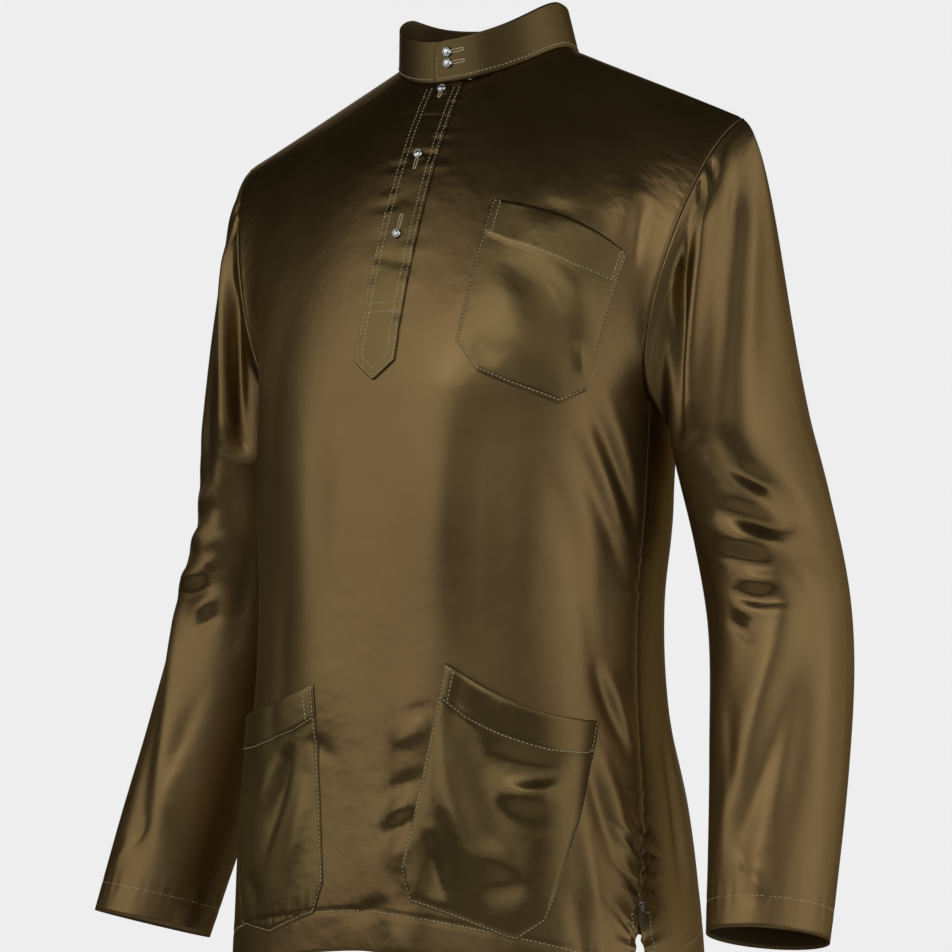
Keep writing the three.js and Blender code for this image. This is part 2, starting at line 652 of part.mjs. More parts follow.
function addZip() {
  const t = 1 + (hem.front - hem.sideDrop + hem.vent + slider.above - torsoRows[0].z)
    / (hem.front - hem.sideDrop - torsoRows[0].z);
  const seamPoint = (a, b) => torsoPoint('front', a, b);
  const outward = torsoSeamNormal('front', 1, t);
  const up = seamPoint(1, t - 0.01).sub(seamPoint(1, t + 0.01)).normalize();
  const across = outward.clone().cross(up).normalize();
  const turn = new THREE.Matrix4().makeBasis(across, outward, up);
  const sliderMesh = addPiece('zip_slider', sliderGeometry(), colours.silver, 0.3, 0.9);
  sliderMesh.quaternion.setFromRotationMatrix(turn);
  sliderMesh.position.copy(seamPoint(1, t)).addScaledVector(outward, slider.lift);
  const tabMesh = addPiece('zip_pull', tabGeometry(), colours.silver, 0.25, 0.9);
  tabMesh.quaternion.copy(sliderMesh.quaternion);
  tabMesh.position.copy(sliderMesh.position).addScaledVector(outward, slider.deep + bridge.leg / 2);
}

addPiece('front_panel', panelGeometry('front'), colours.cloth, 0.45);
addPiece('back_panel', panelGeometry('back'), colours.cloth, 0.45);
addPiece('left_sleeve', sleeveGeometry('left'), colours.cloth, 0.45);
addPiece('right_sleeve', sleeveGeometry('right'), colours.cloth, 0.45);
addPiece('collar', collarGeometry(), colours.clothDark, 0.45);
addPiece('placket', placketGeometry(), colours.clothDark, 0.45);
for (const pocket of pockets) {
  addPiece(pocket.name, pocketGeometry(pocket), colours.cloth, 0.45);
  addPiece(`${pocket.name}_band`, bandGeometry(pocket), colours.clothDark, 0.45);
}
placketStuds.forEach((down, k) => {
  const height = cloth.lift + cloth.wall + cloth.gap;
  addStud(`placket_stud_${k + 1}`, onFront(0, down, height), torsoNormal('front', 0, down / cloth.perDown));
});
collarStuds.heights.forEach((height, k) => {
  const place = (turn, h) => collarPoint(turn, h, collar.outside + cloth.gap);
  const h = height / collar.front;
  const normal = normalOf((a, b) => place(a, b), collarStuds.turn, h).negate();
  addStud(`collar_stud_${k + 1}`, place(collarStuds.turn, h), normal);
});
addZip();

export default garment;
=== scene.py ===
# A satin tunic with a stand collar, studs and patch pockets, in its worn, hollow shape.
# The form is worked out in millimetres and put into the meshes in metres.
import math

import bpy
import numpy as np
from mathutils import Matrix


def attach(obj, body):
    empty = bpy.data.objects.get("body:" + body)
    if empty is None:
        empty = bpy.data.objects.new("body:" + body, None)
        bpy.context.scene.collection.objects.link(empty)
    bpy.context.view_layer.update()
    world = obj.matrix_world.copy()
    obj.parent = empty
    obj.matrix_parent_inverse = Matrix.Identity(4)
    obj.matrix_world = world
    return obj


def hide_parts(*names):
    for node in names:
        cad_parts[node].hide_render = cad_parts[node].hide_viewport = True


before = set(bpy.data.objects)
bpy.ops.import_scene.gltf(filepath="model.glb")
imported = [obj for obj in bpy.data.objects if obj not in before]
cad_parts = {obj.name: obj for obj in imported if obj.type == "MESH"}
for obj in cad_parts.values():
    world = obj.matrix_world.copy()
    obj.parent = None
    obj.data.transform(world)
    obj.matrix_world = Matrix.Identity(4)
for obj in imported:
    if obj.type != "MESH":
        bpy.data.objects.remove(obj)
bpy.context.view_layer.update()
scene = bpy.context.scene
mm = 0.001

# Torso sections from the underarm down: height, centre, half width, depth in front, depth behind, seam angle
torsoRows = np.array([
    [-286, -26, 172, 134, 122, 86],
    [-367, -28, 167, 136, 130, 87],
    [-441, -34, 162, 130, 126, 88],
    [-522, -37, 166, 127, 130, 86],
    [-600, -34, 180, 131, 136, 79],
    [-671, -32, 190, 136, 140, 72],
    [-760, -32, 197, 139, 143, 69],
], float)
squareness = 0.05
hem = {"front": -703, "sideDrop": 45, "vent": 72, "ventHalf": 13, "ventCurve": 1.2, "stitch": 7.0}
shoulder = {"half": 235, "y": -3, "drop": 72, "endSlope": -75}
neck = {"half": 74, "y": 6, "rise": 17, "front": 0.37, "back": 0.252}
neckU = neck["half"] / shoulder["half"]
yokes = {
    "front": {"centre": (0, -236, -18), "arm": (-38, -150, -62), "reach": 196, "turn": (-30, 190, -105)},
    "back": {"centre": (0, 330, -10), "arm": (-30, 150, -55), "reach": 235, "turn": (-30, -190, -105)},
}
yokeEase = 1.1
# The cloth's own lengths: half across, one unit down the torso, near the side edge, underarm to hem, sleeve
cloth = {"across": 240.0, "down": 430.0, "edge": 192.0, "skirt": 417.0, "wall": 0.7,
         "capLength": 250.0, "armLength": 375.0, "perDegree": 1.05}

# Arm sections: height, centre x and y, half width across, half depth front to back
sleeveRows = {
    1: np.array([
        [-320, 226, 13, 48, 70],
        [-380, 240, 17, 51, 63],
        [-442, 252, 17, 53, 58],
        [-560, 266, -8, 52, 53],
        [-640, 273, -32, 48, 49],
        [-689, 277, -48, 45, 47],
    ], float),
    -1: np.array([
        [-320, 226, 11, 48, 70],
        [-380, 239, 13, 51, 63],
        [-442, 250, 12, 54, 58],
        [-560, 273, -10, 52, 53],
        [-640, 287, -34, 50, 50],
        [-706, 297, -54, 47, 49],
    ], float),
}
cap = {"top": (88, 0, -52), "under": (18, 8, -40), "topReach": 250, "underReach": 50, "tilt": 0.8}

# Straight folds: across, down, to across, to down, width, height
straightFolds = {
    "front": [
        (57, 440, 62, 610, 28, 4), (92, 470, 84, 600, 28, -3), (36, 690, 34, 850, 17, 5),
        (-60, 450, -52, 640, 30, 4), (-150, 500, -165, 760, 26, 4), (200, 560, 190, 700, 24, -2),
    ],
    "back": [
        (-70, 430, -95, 700, 30, -5), (60, 430, 90, 690, 30, -5), (0, 470, 6, 780, 30, 5),
    ],
    "sleeve": [
        (82, 70, 96, 200, 14, 5), (106, 80, 112, 210, 12, -6), (42, 90, 64, 235, 15, -5),
        (24, 120, 50, 225, 14, 4), (62, 268, 38, 306, 12, -4), (76, 330, 48, 352, 12, 4),
        (58, 392, 100, 535, 15, 5), (60, 460, 90, 550, 13, -4), (200, 330, 240, 430, 18, 4),
        (290, 120, 270, 260, 18, -4),
    ],
}

# Finer creases: start, bend and end as across and down, width, height, and how much steeper the left side
# of the way along is, seen with across to the right and down downwards
creases = {
    "front": [
        (68, 410, 62, 490, 50, 610, 15, 1.2, 0.3), (82, 430, 80, 520, 78, 640, 10, -1.6, 0.3),
        (118, 440, 124, 520, 116, 640, 13, 1.2, 0.0), (160, 424, 196, 482, 238, 534, 8, -3.6, 0.2),
        (176, 420, 208, 470, 240, 512, 8, 2.0, 0.0), (160, 446, 188, 498, 230, 548, 7, 2.4, 0.0),
        (148, 452, 180, 512, 222, 566, 8, -2.2, 0.2), (128, 470, 170, 560, 196, 660, 10, -1.2, 0.0),
        (-20, 440, -24, 520, -22, 640, 11, 1.4, 0.2), (-44, 420, -40, 500, -46, 600, 9, -1.2, 0.2),
        (-98, 340, -104, 420, -110, 520, 14, -1.6, 0.2), (-130, 330, -140, 430, -150, 520, 12, 1.2, 0.0),
        (-214, 330, -196, 400, -188, 470, 9, -2.4, 0.2), (-205, 480, -200, 560, -204, 640, 9, -1.8, 0.0),
        (-176, 470, -180, 560, -184, 640, 10, 1.4, 0.0), (-86, 560, -92, 640, -98, 740, 10, -1.6, 0.0),
        (12, 600, 16, 700, 14, 800, 7, -1.2, 0.2), (-8, 620, -10, 720, -6, 830, 9, 1.0, 0.0),
        (180, 618, 200, 650, 230, 692, 8, -3.0, 0.2), (196, 622, 214, 652, 238, 682, 8, 2.0, 0.0),
        (170, 680, 186, 728, 218, 776, 9, -3.4, 0.2), (186, 676, 204, 722, 234, 764, 8, 2.4, 0.0),
        (168, 730, 180, 770, 200, 812, 8, 2.0, 0.0), (166, 780, 176, 810, 182, 845, 8, -1.8, 0.0),
        (52, 664, 38, 676, 22, 690, 5, -2.2, 0.2), (50, 676, 38, 690, 22, 704, 6, 1.7, 0.0),
        (47, 716, 33, 732, 16, 748, 5, -2.4, 0.2), (45, 730, 31, 748, 14, 764, 6, 2.0, 0.0),
        (44, 746, 30, 764, 12, 780, 5, -2.4, 0.2), (42, 764, 32, 780, 18, 796, 7, 1.4, 0.0),
        (36, 792, 37, 820, 36, 845, 4, -2.4, 0.4), (22, 820, 4, 826, -14, 842, 5, -1.6, 0.3),
        (100, 306, 120, 296, 150, 300, 9, -1.0, 0.0), (204, 250, 198, 290, 206, 330, 9, -2.4, 0.3),
        (186, 230, 180, 270, 186, 320, 12, 1.6, 0.0), (-52, 690, -40, 704, -34, 716, 5, -1.6, 0.2),
    ],
    "back": [
        (-40, 300, -30, 420, -34, 560, 12, 2.9, 0.2), (30, 320, 34, 430, 28, 590, 11, -2.6, 0.2),
        (84, 360, 90, 470, 96, 600, 12, 2.9, 0.0), (-96, 350, -104, 460, -96, 600, 12, -2.6, 0.2),
        (140, 330, 150, 420, 166, 540, 12, -3.2, 0.2), (-140, 340, -156, 430, -168, 550, 12, 3.2, 0.0),
        (206, 300, 190, 360, 178, 430, 10, -4.2, 0.2), (-206, 310, -190, 370, -180, 440, 10, -4.2, 0.2),
        (-60, 620, -70, 700, -66, 800, 12, 2.9, 0.2), (40, 620, 52, 710, 56, 810, 12, -2.9, 0.2),
        (120, 600, 130, 700, 138, 800, 12, 2.9, 0.0), (-130, 620, -142, 700, -146, 800, 12, -2.9, 0.0),
        (0, 250, 6, 330, -4, 430, 16, -2.6, 0.0), (196, 660, 190, 730, 186, 800, 9, -3.2, 0.0),
        (-200, 640, -192, 720, -186, 800, 9, -3.2, 0.0),
    ],
    "sleeve": [
        (56, 0, 58, 16, 62, 38, 4, -2.4, 0.3), (64, 0, 67, 18, 73, 46, 5, 1.8, 0.0),
        (72, 4, 76, 22, 84, 52, 5, -2.2, 0.3), (46, 0, 46, 60, 44, 150, 12, 1.2, 0.0),
        (30, 10, 34, 80, 36, 180, 12, -1.4, 0.2), (90, 30, 97, 110, 102, 235, 12, 2.4, 0.3),
        (114, 40, 117, 130, 116, 255, 12, -3.4, 0.2), (74, 110, 79, 170, 88, 245, 12, -1.6, 0.2),
        (56, 120, 62, 180, 74, 250, 12, 1.6, 0.0), (8, 60, 14, 140, 20, 230, 10, -1.4, 0.0),
        (84, 262, 58, 284, 26, 296, 6, -2.4, 0.2), (80, 284, 60, 300, 30, 312, 8, 1.8, 0.0),
        (94, 298, 66, 318, 30, 326, 7, -3.4, 0.2), (84, 320, 62, 332, 38, 342, 6, 2.4, 0.0),
        (102, 330, 74, 350, 34, 352, 8, -3.0, 0.2), (90, 354, 72, 364, 44, 366, 6, 2.4, 0.0),
        (100, 366, 74, 384, 42, 382, 6, -2.4, 0.2), (108, 388, 96, 404, 78, 416, 6, -2.4, 0.2),
        (104, 370, 90, 386, 70, 396, 6, 1.8, 0.0), (62, 300, 50, 346, 40, 392, 9, -1.8, 0.0),
        (130, 290, 124, 360, 126, 440, 9, -1.6, 0.2), (112, 440, 104, 500, 96, 560, 8, -1.8, 0.2),
        (40, 420, 44, 500, 58, 580, 9, -1.6, 0.0), (20, 380, 26, 460, 30, 560, 12, 1.4, 0.0),
        (96, 560, 90, 580, 80, 592, 6, -1.8, 0.2), (84, 580, 76, 596, 62, 604, 6, 1.6, 0.0),
        (150, 250, 180, 270, 210, 280, 10, -2.6, 0.2), (150, 290, 180, 306, 215, 310, 9, 2.2, 0.0),
        (160, 320, 190, 340, 226, 346, 9, -2.4, 0.2), (230, 250, 260, 270, 300, 276, 10, -2.0, 0.2),
        (236, 330, 262, 350, 300, 352, 10, 2.0, 0.0), (180, 60, 186, 110, 176, 170, 8, 2.0, 0.0),
        (206, 80, 216, 140, 206, 210, 9, -2.4, 0.2), (270, 60, 262, 140, 266, 220, 10, 1.6, 0.0),
        (310, 40, 316, 120, 312, 220, 10, -1.6, 0.0), (330, 300, 336, 400, 330, 520, 12, 1.4, 0.0),
        (210, 440, 220, 500, 230, 580, 10, -1.8, 0.2), (260, 420, 256, 500, 262, 590, 12, 1.6, 0.0),
        (300, 440, 296, 520, 290, 590, 10, -1.6, 0.0),
    ],
}

# The far sleeve's creases sit this much higher
farSleeveShift = 14

# Gathers that a seam or row of stitches leaves: height, reach to its sides and the length of one gather
gathers = {
    "side": {"height": 1.5, "reach": 15.0, "length": 15.0},
    "bunch": {"height": 2.6, "reach": 18.0, "length": 14.0},
    "armhole": {"height": 0.12, "reach": 14.0, "length": 23.0},
    "hem": {"height": 0.35, "reach": 10.0, "length": 13.0},
    "placket": {"height": 0.45, "reach": 9.0, "length": 21.0},
    "cuff": {"height": 0.4, "reach": 12.0, "length": 15.0},
}
seamPuff = {"height": 0.7, "reach": 4.5}
hemFold = {"deep": 30.0, "groove": 0.45, "groovePart": 1.5}
cuffFold = {"deep": 22.0, "groove": 0.45, "groovePart": 1.5}


def tableAt(rows, z):
    # smooth cubic between a table's rows, its slopes from the parabola through three rows
    table = rows[np.argsort(rows[:, 0])]
    heights = table[:, 0]
    z = np.clip(z, heights[0], heights[-1])
    i = np.clip(np.searchsorted(heights, z) - 1, 0, len(heights) - 2)
    span = heights[i + 1] - heights[i]
    s = ((z - heights[i]) / span)[..., None]
    slope = np.gradient(table[:, 1:], heights, axis=0)
    reach = span[..., None]
    return cubic(table[i, 1:], slope[i] * reach, table[i + 1, 1:], slope[i + 1] * reach, s)


def cubic(a, leave, b, arrive, s):
    # Hermite cubic from a to b
    return ((2 * s**3 - 3 * s**2 + 1) * a + (s**3 - 2 * s**2 + s) * leave
            + (3 * s**2 - 2 * s**3) * b + (s**3 - s**2) * arrive)


def smoothstep(value, low, high):
    # 3s^2 - 2s^3, s from 0 at low to 1 at high
    s = np.clip((value - low) / (high - low), 0, 1)
    return s * s * (3 - 2 * s)


def unit(vectors):
    return vectors / np.maximum(np.linalg.norm(vectors, axis=-1, keepdims=True), 1e-9)


def torsoRing(z, angle):
    # an ellipse with its own depth in front and behind, swollen towards its four corners
    row = tableAt(torsoRows, z)
    deep = np.where(np.cos(angle) > 0, row[..., 2], row[..., 3])
    grow = 1 + squareness * np.sin(2 * angle) ** 2
    x = row[..., 1] * np.sin(angle) * grow
    return np.stack([x, row[..., 0] - deep * np.cos(angle) * grow, z], -1)


def skirtPoint(side, u, t):
    # the part under the arms: t from 1 at the underarm line to 2 at the hem
    top = torsoRows[0, 0]
    z = top + (hem["front"] - hem["sideDrop"] * np.abs(u) ** 1.5 - top) * (t - 1)
    seam = np.radians(tableAt(torsoRows, z)[..., 4])
    return torsoRing(z, u * seam if side == "front" else np.pi - u * (np.pi - seam))


def ventOpening(t):
    # how far the side edge draws back, in millimetres, growing from the top of the vent to the hem
    low = skirtPoint("front", np.ones_like(t), np.maximum(t, 1))[..., 2]
    ventTop = hem["front"] - hem["sideDrop"] + hem["vent"]
    return hem["ventHalf"] * np.clip((ventTop - low) / hem["vent"], 0, 1) ** hem["ventCurve"]


def ridgePoint(u):
    # the shoulder line: a parabola over the neck, then a cubic down to the armhole
    x = shoulder["half"] * u
    curve = neck["rise"] / neck["half"] ** 2
    span = shoulder["half"] - neck["half"]
    r = np.clip((np.abs(u) - neckU) / (1 - neckU), 0, 1)
    outer = cubic(0, -2 * curve * neck["half"] * span, -shoulder["drop"], shoulder["endSlope"], r)
    z = np.where(np.abs(u) < neckU, neck["rise"] - curve * x**2, outer)
    return np.stack([x, neck["y"] + (shoulder["y"] - neck["y"]) * u**2, z], -1)


def yokePoint(side, u, s):
    # cubic from the shoulder line to the underarm line
    yoke = yokes[side]
    edge = np.abs(u)
    one = np.ones_like(u)
    mirror = np.stack([np.where(u < 0, -1.0, 1.0), one, one], -1)
    end = skirtPoint(side, u, one)
    down = unit(skirtPoint(side, u, one + 1e-3) - end) * yoke["reach"]
    w = (edge**2.2)[..., None]
    leave = (np.array(yoke["centre"], float) * (1 - w) + np.array(yoke["arm"], float) * w) * mirror
    w = (edge**5)[..., None]
    arrive = down * (1 - w) + np.array(yoke["turn"], float) * mirror * w
    return cubic(ridgePoint(u), leave, end, arrive, s[..., None])


def torsoSmooth(side, u, t):
    # u runs across from -1 to 1, t from 0 at the shoulder line to 2 at the hem
    u, t = np.broadcast_arrays(np.asarray(u, float), np.asarray(t, float))
    c = np.clip(t, 0, 1)
    yoke = yokePoint(side, u, c - yokeEase * c**2 * (1 - c))
    return np.where((t < 1)[..., None], yoke, skirtPoint(side, u, np.clip(t, 1, 2.2)))


def normalFrom(pointAt, a, b, step=1e-3):
    # cross product of the small steps along the two numbers
    across = pointAt(a + step, b) - pointAt(a - step, b)
    down = pointAt(a, b + step) - pointAt(a, b - step)
    return unit(np.cross(down, across))


def straightHeight(folds, across, down, period=None):
    # sum of height times exp(-(distance to the stretch / width)^2), softer past both ends
    total = np.zeros(np.broadcast(across, down).shape)
    for x0, y0, x1, y1, width, height in folds:
        apart = across - x0
        if period:
            apart = apart - period * np.round(apart / period)
        dx, dy = x1 - x0, y1 - y0
        s = np.clip((apart * dx + (down - y0) * dy) / (dx**2 + dy**2), 0, 1)
        past = (apart * dx + (down - y0) * dy) / np.hypot(dx, dy) - s * np.hypot(dx, dy)
        beside = (apart * dy - (down - y0) * dx) / np.hypot(dx, dy)
        total = total + height * np.exp(-((beside**2 + (0.5 * past) ** 2) / width**2))
    return total


def creaseHeight(table, across, down, period=None, pieces=8):
    # like a straight fold, but along a bent line, fading to both ends, with one side steeper
    total = np.zeros(np.broadcast(across, down).shape)
    k = np.linspace(0, 1, pieces + 1)
    for x0, y0, xb, yb, x1, y1, width, height, steep in table:
        lineX = (1 - k) ** 2 * x0 + 2 * k * (1 - k) * xb + k**2 * x1
        lineY = (1 - k) ** 2 * y0 + 2 * k * (1 - k) * yb + k**2 * y1
        apart = across - (x0 + x1) / 2
        if period:
            apart = apart - period * np.round(apart / period)
        px = apart + (x0 + x1) / 2
        reach = 3 * width * (1 + abs(steep))
        near = ((px > lineX.min() - reach) & (px < lineX.max() + reach)
                & (down > lineY.min() - reach) & (down < lineY.max() + reach))
        if not near.any():
            continue
        px = px[near]
        py = np.broadcast_to(down, near.shape)[near]
        best = np.full(px.shape, 1e9)
        along = np.zeros(px.shape)
        side = np.zeros(px.shape)
        for n in range(pieces):
            dx, dy = lineX[n + 1] - lineX[n], lineY[n + 1] - lineY[n]
            s = np.clip(((px - lineX[n]) * dx + (py - lineY[n]) * dy) / (dx**2 + dy**2), 0, 1)
            ox, oy = px - lineX[n] - s * dx, py - lineY[n] - s * dy
            far = np.hypot(ox, oy)
            closer = far < best
            best = np.where(closer, far, best)
            along = np.where(closer, (n + s) / pieces, along)
            side = np.where(closer, np.sign(dx * oy - dy * ox), side)
        ends = np.sin(np.pi * np.clip(along, 0, 1)) ** 1.3
        own = width * (1 + steep * side)
        total[near] += height * ends * np.exp(-((best / own) ** 2))
    return total


def waver(along, length, seed):
    # gathers of uneven length and strength: sines whose lengths share no measure
    p = 2 * np.pi * along / length
    strength = 0.55 + 0.45 * np.sin(p / 5.3 + 1.7 * seed) * np.sin(p / 2.9 + 0.6 * seed)
    wave = (np.sin(p + 1.3 * np.sin(p / 3.7 + seed)) + 0.5 * np.sin(1.73 * p + 2.1 * seed)
            + 0.3 * np.sin(2.9 * p + 0.7 * seed))
    return strength * wave


def gather(row, distance, along, seed):
    # height times exp(-(distance / reach)^2) times the uneven sines
    return row["height"] * np.exp(-(distance / row["reach"]) ** 2) * waver(along, row["length"], seed)


def seamDistance(u, t):
    # cloth distance from the nearest side edge or armhole, in millimetres
    wide = cloth["across"] * (1 - 0.25 * smoothstep(t, 0.6, 1.2))
    return (1 - np.abs(u)) * wide


def torsoHeight(side, u, t):
    # folds and creases, faded at the seams, with each seam's gathers and the groove above the hem fold
    across, down = u * cloth["across"], t * cloth["down"]
    far = seamDistance(u, t)
    total = straightHeight(straightFolds[side], across, down) + creaseHeight(creases[side], across, down)
    total = total * smoothstep(far, -2, 16)
    seed = np.where(u > 0, 1.0, 4.0)
    low = smoothstep(t, 1.12, 1.24)
    strong = 0.35 + 0.65 * smoothstep(t, 1.55, 1.8) + 1.1 * np.exp(-((t - 1.29) / 0.05) ** 2)
    strong = np.where(u > 0, strong, 0.45)
    total = total + low * strong * gather(gathers["side"], far, down, seed)
    bunched = smoothstep(t, 1.66, 1.74) * (1 - smoothstep(t, 1.84, 1.9)) * np.where(u > 0, 1.0, 0.5)
    slant = 0.7 * far * (1 if side == "front" else -1)
    total = total + bunched * gather(gathers["bunch"], far, down + slant, 2.0)
    arm = 1 - smoothstep(t, 0.85, 1.0)
    total = total + arm * gather(gathers["armhole"], far, down, seed + 2) * smoothstep(far, 0, 8)
    total = total + seamPuff["height"] * (smoothstep(far, 0, seamPuff["reach"]) - 1)
    if side == "front":
        beside = np.abs(np.abs(across) - placket["half"])
        here = smoothstep(down, 150, 190) * (1 - smoothstep(down, 405, 425))
        total = total + here * gather(gathers["placket"], beside, down, np.sign(across) * 1.5 + 3)
    fromHem = (2 - t) * cloth["skirt"]
    total = total + gather(gathers["hem"], fromHem - hemFold["deep"], across, 7.0)
    return total - hemFold["groove"] * np.exp(-((fromHem - hemFold["deep"]) / hemFold["groovePart"]) ** 2)


def torsoPoint(side, u, t):
    # the smooth form moved out along its normal by the height of the folds
    smooth = lambda a, b: torsoSmooth(side, a, b)
    sense = 1 if side == "front" else -1
    u, t = np.broadcast_arrays(np.asarray(u, float), np.asarray(t, float))
    return smooth(u, t) + normalFrom(smooth, u, t) * (sense * torsoHeight(side, u, t))[..., None]


def torsoNormal(side, u, t):
    normal = normalFrom(lambda a, b: torsoPoint(side, a, b), u, t)
    return normal if side == "front" else -normal


def frontNormal(across, down):
    return torsoNormal("front", across / cloth["across"], down / cloth["down"])


def onFront(across, down, height=0.0):
    # a point on the front cloth moved out by a height, all in millimetres
    across, down = np.broadcast_arrays(np.asarray(across, float), np.asarray(down, float))
    point = torsoPoint("front", across / cloth["across"], down / cloth["down"])
    return point + frontNormal(across, down) * np.asarray(height, float)[..., None]


def armholePoint(arm, theta):
    # down the front panel's edge for half a turn and up the back panel's
    turn = np.mod(theta / np.pi, 2)
    u = np.full(turn.shape, float(arm))
    front = torsoPoint("front", u, np.clip(turn, 0, 1))
    back = torsoPoint("back", u, np.clip(2 - turn, 0, 1))
    return np.where((turn <= 1)[..., None], front, back)


def sleeveRing(arm, z, theta):
    # an ellipse tilted with the way the arm leans
    rows = sleeveRows[arm]
    row = tableAt(rows, z)
    near = np.clip(z, rows[-1, 0] + 2, rows[0, 0] - 2)
    lean = (tableAt(rows, near - 2) - tableAt(rows, near + 2)) / 4
    x = row[..., 2] * np.cos(theta)
    y = -row[..., 3] * np.sin(theta)
    rise = cap["tilt"] * (lean[..., 0] * x + lean[..., 1] * y)
    return np.stack([row[..., 0] + x, row[..., 1] + y, z + rise], -1)


def sleeveSmooth(arm, theta, v):
    # theta runs round from the shoulder to the front; v from 0 at the armhole to 2 at the cuff
    theta, v = np.broadcast_arrays(np.asarray(theta, float), np.asarray(v, float))
    rows = sleeveRows[arm]
    mirror = np.array([arm, 1, 1])
    top = rows[0, 0]
    ring = sleeveRing(arm, top + (rows[-1, 0] - top) * np.clip(v - 1, 0, 1.05), theta)
    start = armholePoint(arm, theta) * mirror
    first = sleeveRing(arm, np.full(theta.shape, top), theta)
    down = unit(sleeveRing(arm, np.full(theta.shape, top - 2), theta) - first)
    upper = (0.5 + 0.5 * np.cos(theta))[..., None]
    leave = np.array(cap["under"]) * (1 - upper) + np.array(cap["top"]) * upper
    down = down * (cap["underReach"] + (cap["topReach"] - cap["underReach"]) * upper)
    arc = cubic(start, leave, first, down, np.clip(v, 0, 1)[..., None])
    return np.where((v < 1)[..., None], arc, ring) * mirror


def sleeveDown(v):
    # millimetres of cloth from the armhole
    return np.where(v < 1, cloth["capLength"] * v, cloth["capLength"] + cloth["armLength"] * (v - 1))


def sleeveHeight(arm, theta, v):
    # folds and creases round the arm, with the gathers at the armhole and the cuff
    across, down = np.degrees(theta), sleeveDown(v)
    total = straightHeight(straightFolds["sleeve"], across, down, 360)
    total = total + creaseHeight(creases["sleeve"], across, down + farSleeveShift * (arm < 0), 360)
    total = total * smoothstep(down, -1, 14)
    girth = across * cloth["perDegree"]
    total = total + gather(gathers["armhole"], down, girth, 2.0 + arm) * smoothstep(down, 0, 8)
    total = total + seamPuff["height"] * (smoothstep(down, 0, seamPuff["reach"]) - 1)
    fromCuff = (2 - v) * cloth["armLength"] - cuffFold["deep"]
    total = total + gather(gathers["cuff"], fromCuff, girth, 5.0 + arm)
    return total - cuffFold["groove"] * np.exp(-((fromCuff / cuffFold["groovePart"]) ** 2))


def sleevePoint(arm, theta, v):
    smooth = lambda a, b: sleeveSmooth(arm, a, b)
    theta, v = np.broadcast_arrays(np.asarray(theta, float), np.asarray(v, float))
    return smooth(theta, v) - normalFrom(smooth, theta, v) * (arm * sleeveHeight(arm, theta, v))[..., None]


def neckCutAt(side, u):
    # half an ellipse: how far down the neckline is cut at u
    return neck[side] * np.sqrt(np.clip(1 - (u / neckU) ** 2, 0, 1))


def neckPoint(turn):
    # turn in radians from the front centre towards +X and round the back
    u = neckU * np.sin(turn)
    front = torsoPoint("front", u, neckCutAt("front", u))
    back = torsoPoint("back", u, neckCutAt("back", u))
    return np.where((np.cos(turn) > 0)[..., None], front, back)


def gridNormal(points, around=False):
    # cross product of the grid's two directions; rows run down, columns run across
    if around:
        wrapped = np.concatenate([points[:, -2:], points, points[:, :2]], 1)
        return unit(np.cross(np.gradient(wrapped, axis=0), np.gradient(wrapped, axis=1)))[:, 2:-2]
    return unit(np.cross(np.gradient(points, axis=0), np.gradient(points, axis=1)))


def addMesh(name, points, faces, uv=None, smooth=True, slots=None):
    # a face that names a corner twice becomes a triangle
    mesh = bpy.data.meshes.new(name)
    corners = [list(dict.fromkeys(face)) for face in faces.tolist()]
    mesh.from_pydata((np.asarray(points, float) * mm).tolist(), [], corners)
    mesh.update()
    if uv is not None:
        loops = np.zeros(len(mesh.loops), np.int32)
        mesh.loops.foreach_get("vertex_index", loops)
        layer = mesh.uv_layers.new(name="cloth")
        layer.data.foreach_set("uv", (np.asarray(uv, float) * mm)[loops].astype(np.float32).ravel())
    mesh.polygons.foreach_set("use_smooth", np.full(len(mesh.polygons), smooth))
    if slots is not None:
        mesh.polygons.foreach_set("material_index", slots.astype(np.int32))
    piece = bpy.data.objects.new(name, mesh)
    scene.collection.objects.link(piece)
    return piece


def shellFaces(rows, columns, around=False):
    # quads of the outer and inner layers of a grid and the strips that join them at its edges
    at = lambda layer, j, i: (layer * rows + j) * columns + i % columns
    j, i = np.meshgrid(np.arange(rows - 1), np.arange(columns if around else columns - 1), indexing="ij")
    j, i = j.ravel(), i.ravel()
    outer = np.stack([at(0, j, i), at(0, j + 1, i), at(0, j + 1, i + 1), at(0, j, i + 1)], -1)
    inner = np.stack([at(1, j, i), at(1, j, i + 1), at(1, j + 1, i + 1), at(1, j + 1, i)], -1)
    i = np.arange(columns if around else columns - 1)
    last = rows - 1
    zero = np.zeros_like(i)
    strips = [
        np.stack([at(0, zero, i), at(0, zero, i + 1), at(1, zero, i + 1), at(1, zero, i)], -1),
        np.stack([at(0, last + zero, i), at(1, last + zero, i), at(1, last + zero, i + 1),
                  at(0, last + zero, i + 1)], -1),
    ]
    if not around:
        j = np.arange(rows - 1)
        zero = np.zeros_like(j)
        end = columns - 1
        strips += [
            np.stack([at(0, j, zero), at(1, j, zero), at(1, j + 1, zero), at(0, j + 1, zero)], -1),
            np.stack([at(0, j, end + zero), at(0, j + 1, end + zero), at(1, j + 1, end + zero),
                      at(1, j, end + zero)], -1),
        ]
    return outer, inner, np.concatenate(strips)


def outwards(points, faces):
    # turns the faces round where the volume they close comes out negative
    a, b, c, d = (points[faces[:, k]] for k in range(4))
    volume = (a * (np.cross(b, c) + np.cross(c, d))).sum()
    return faces if volume > 0 else faces[:, ::-1]


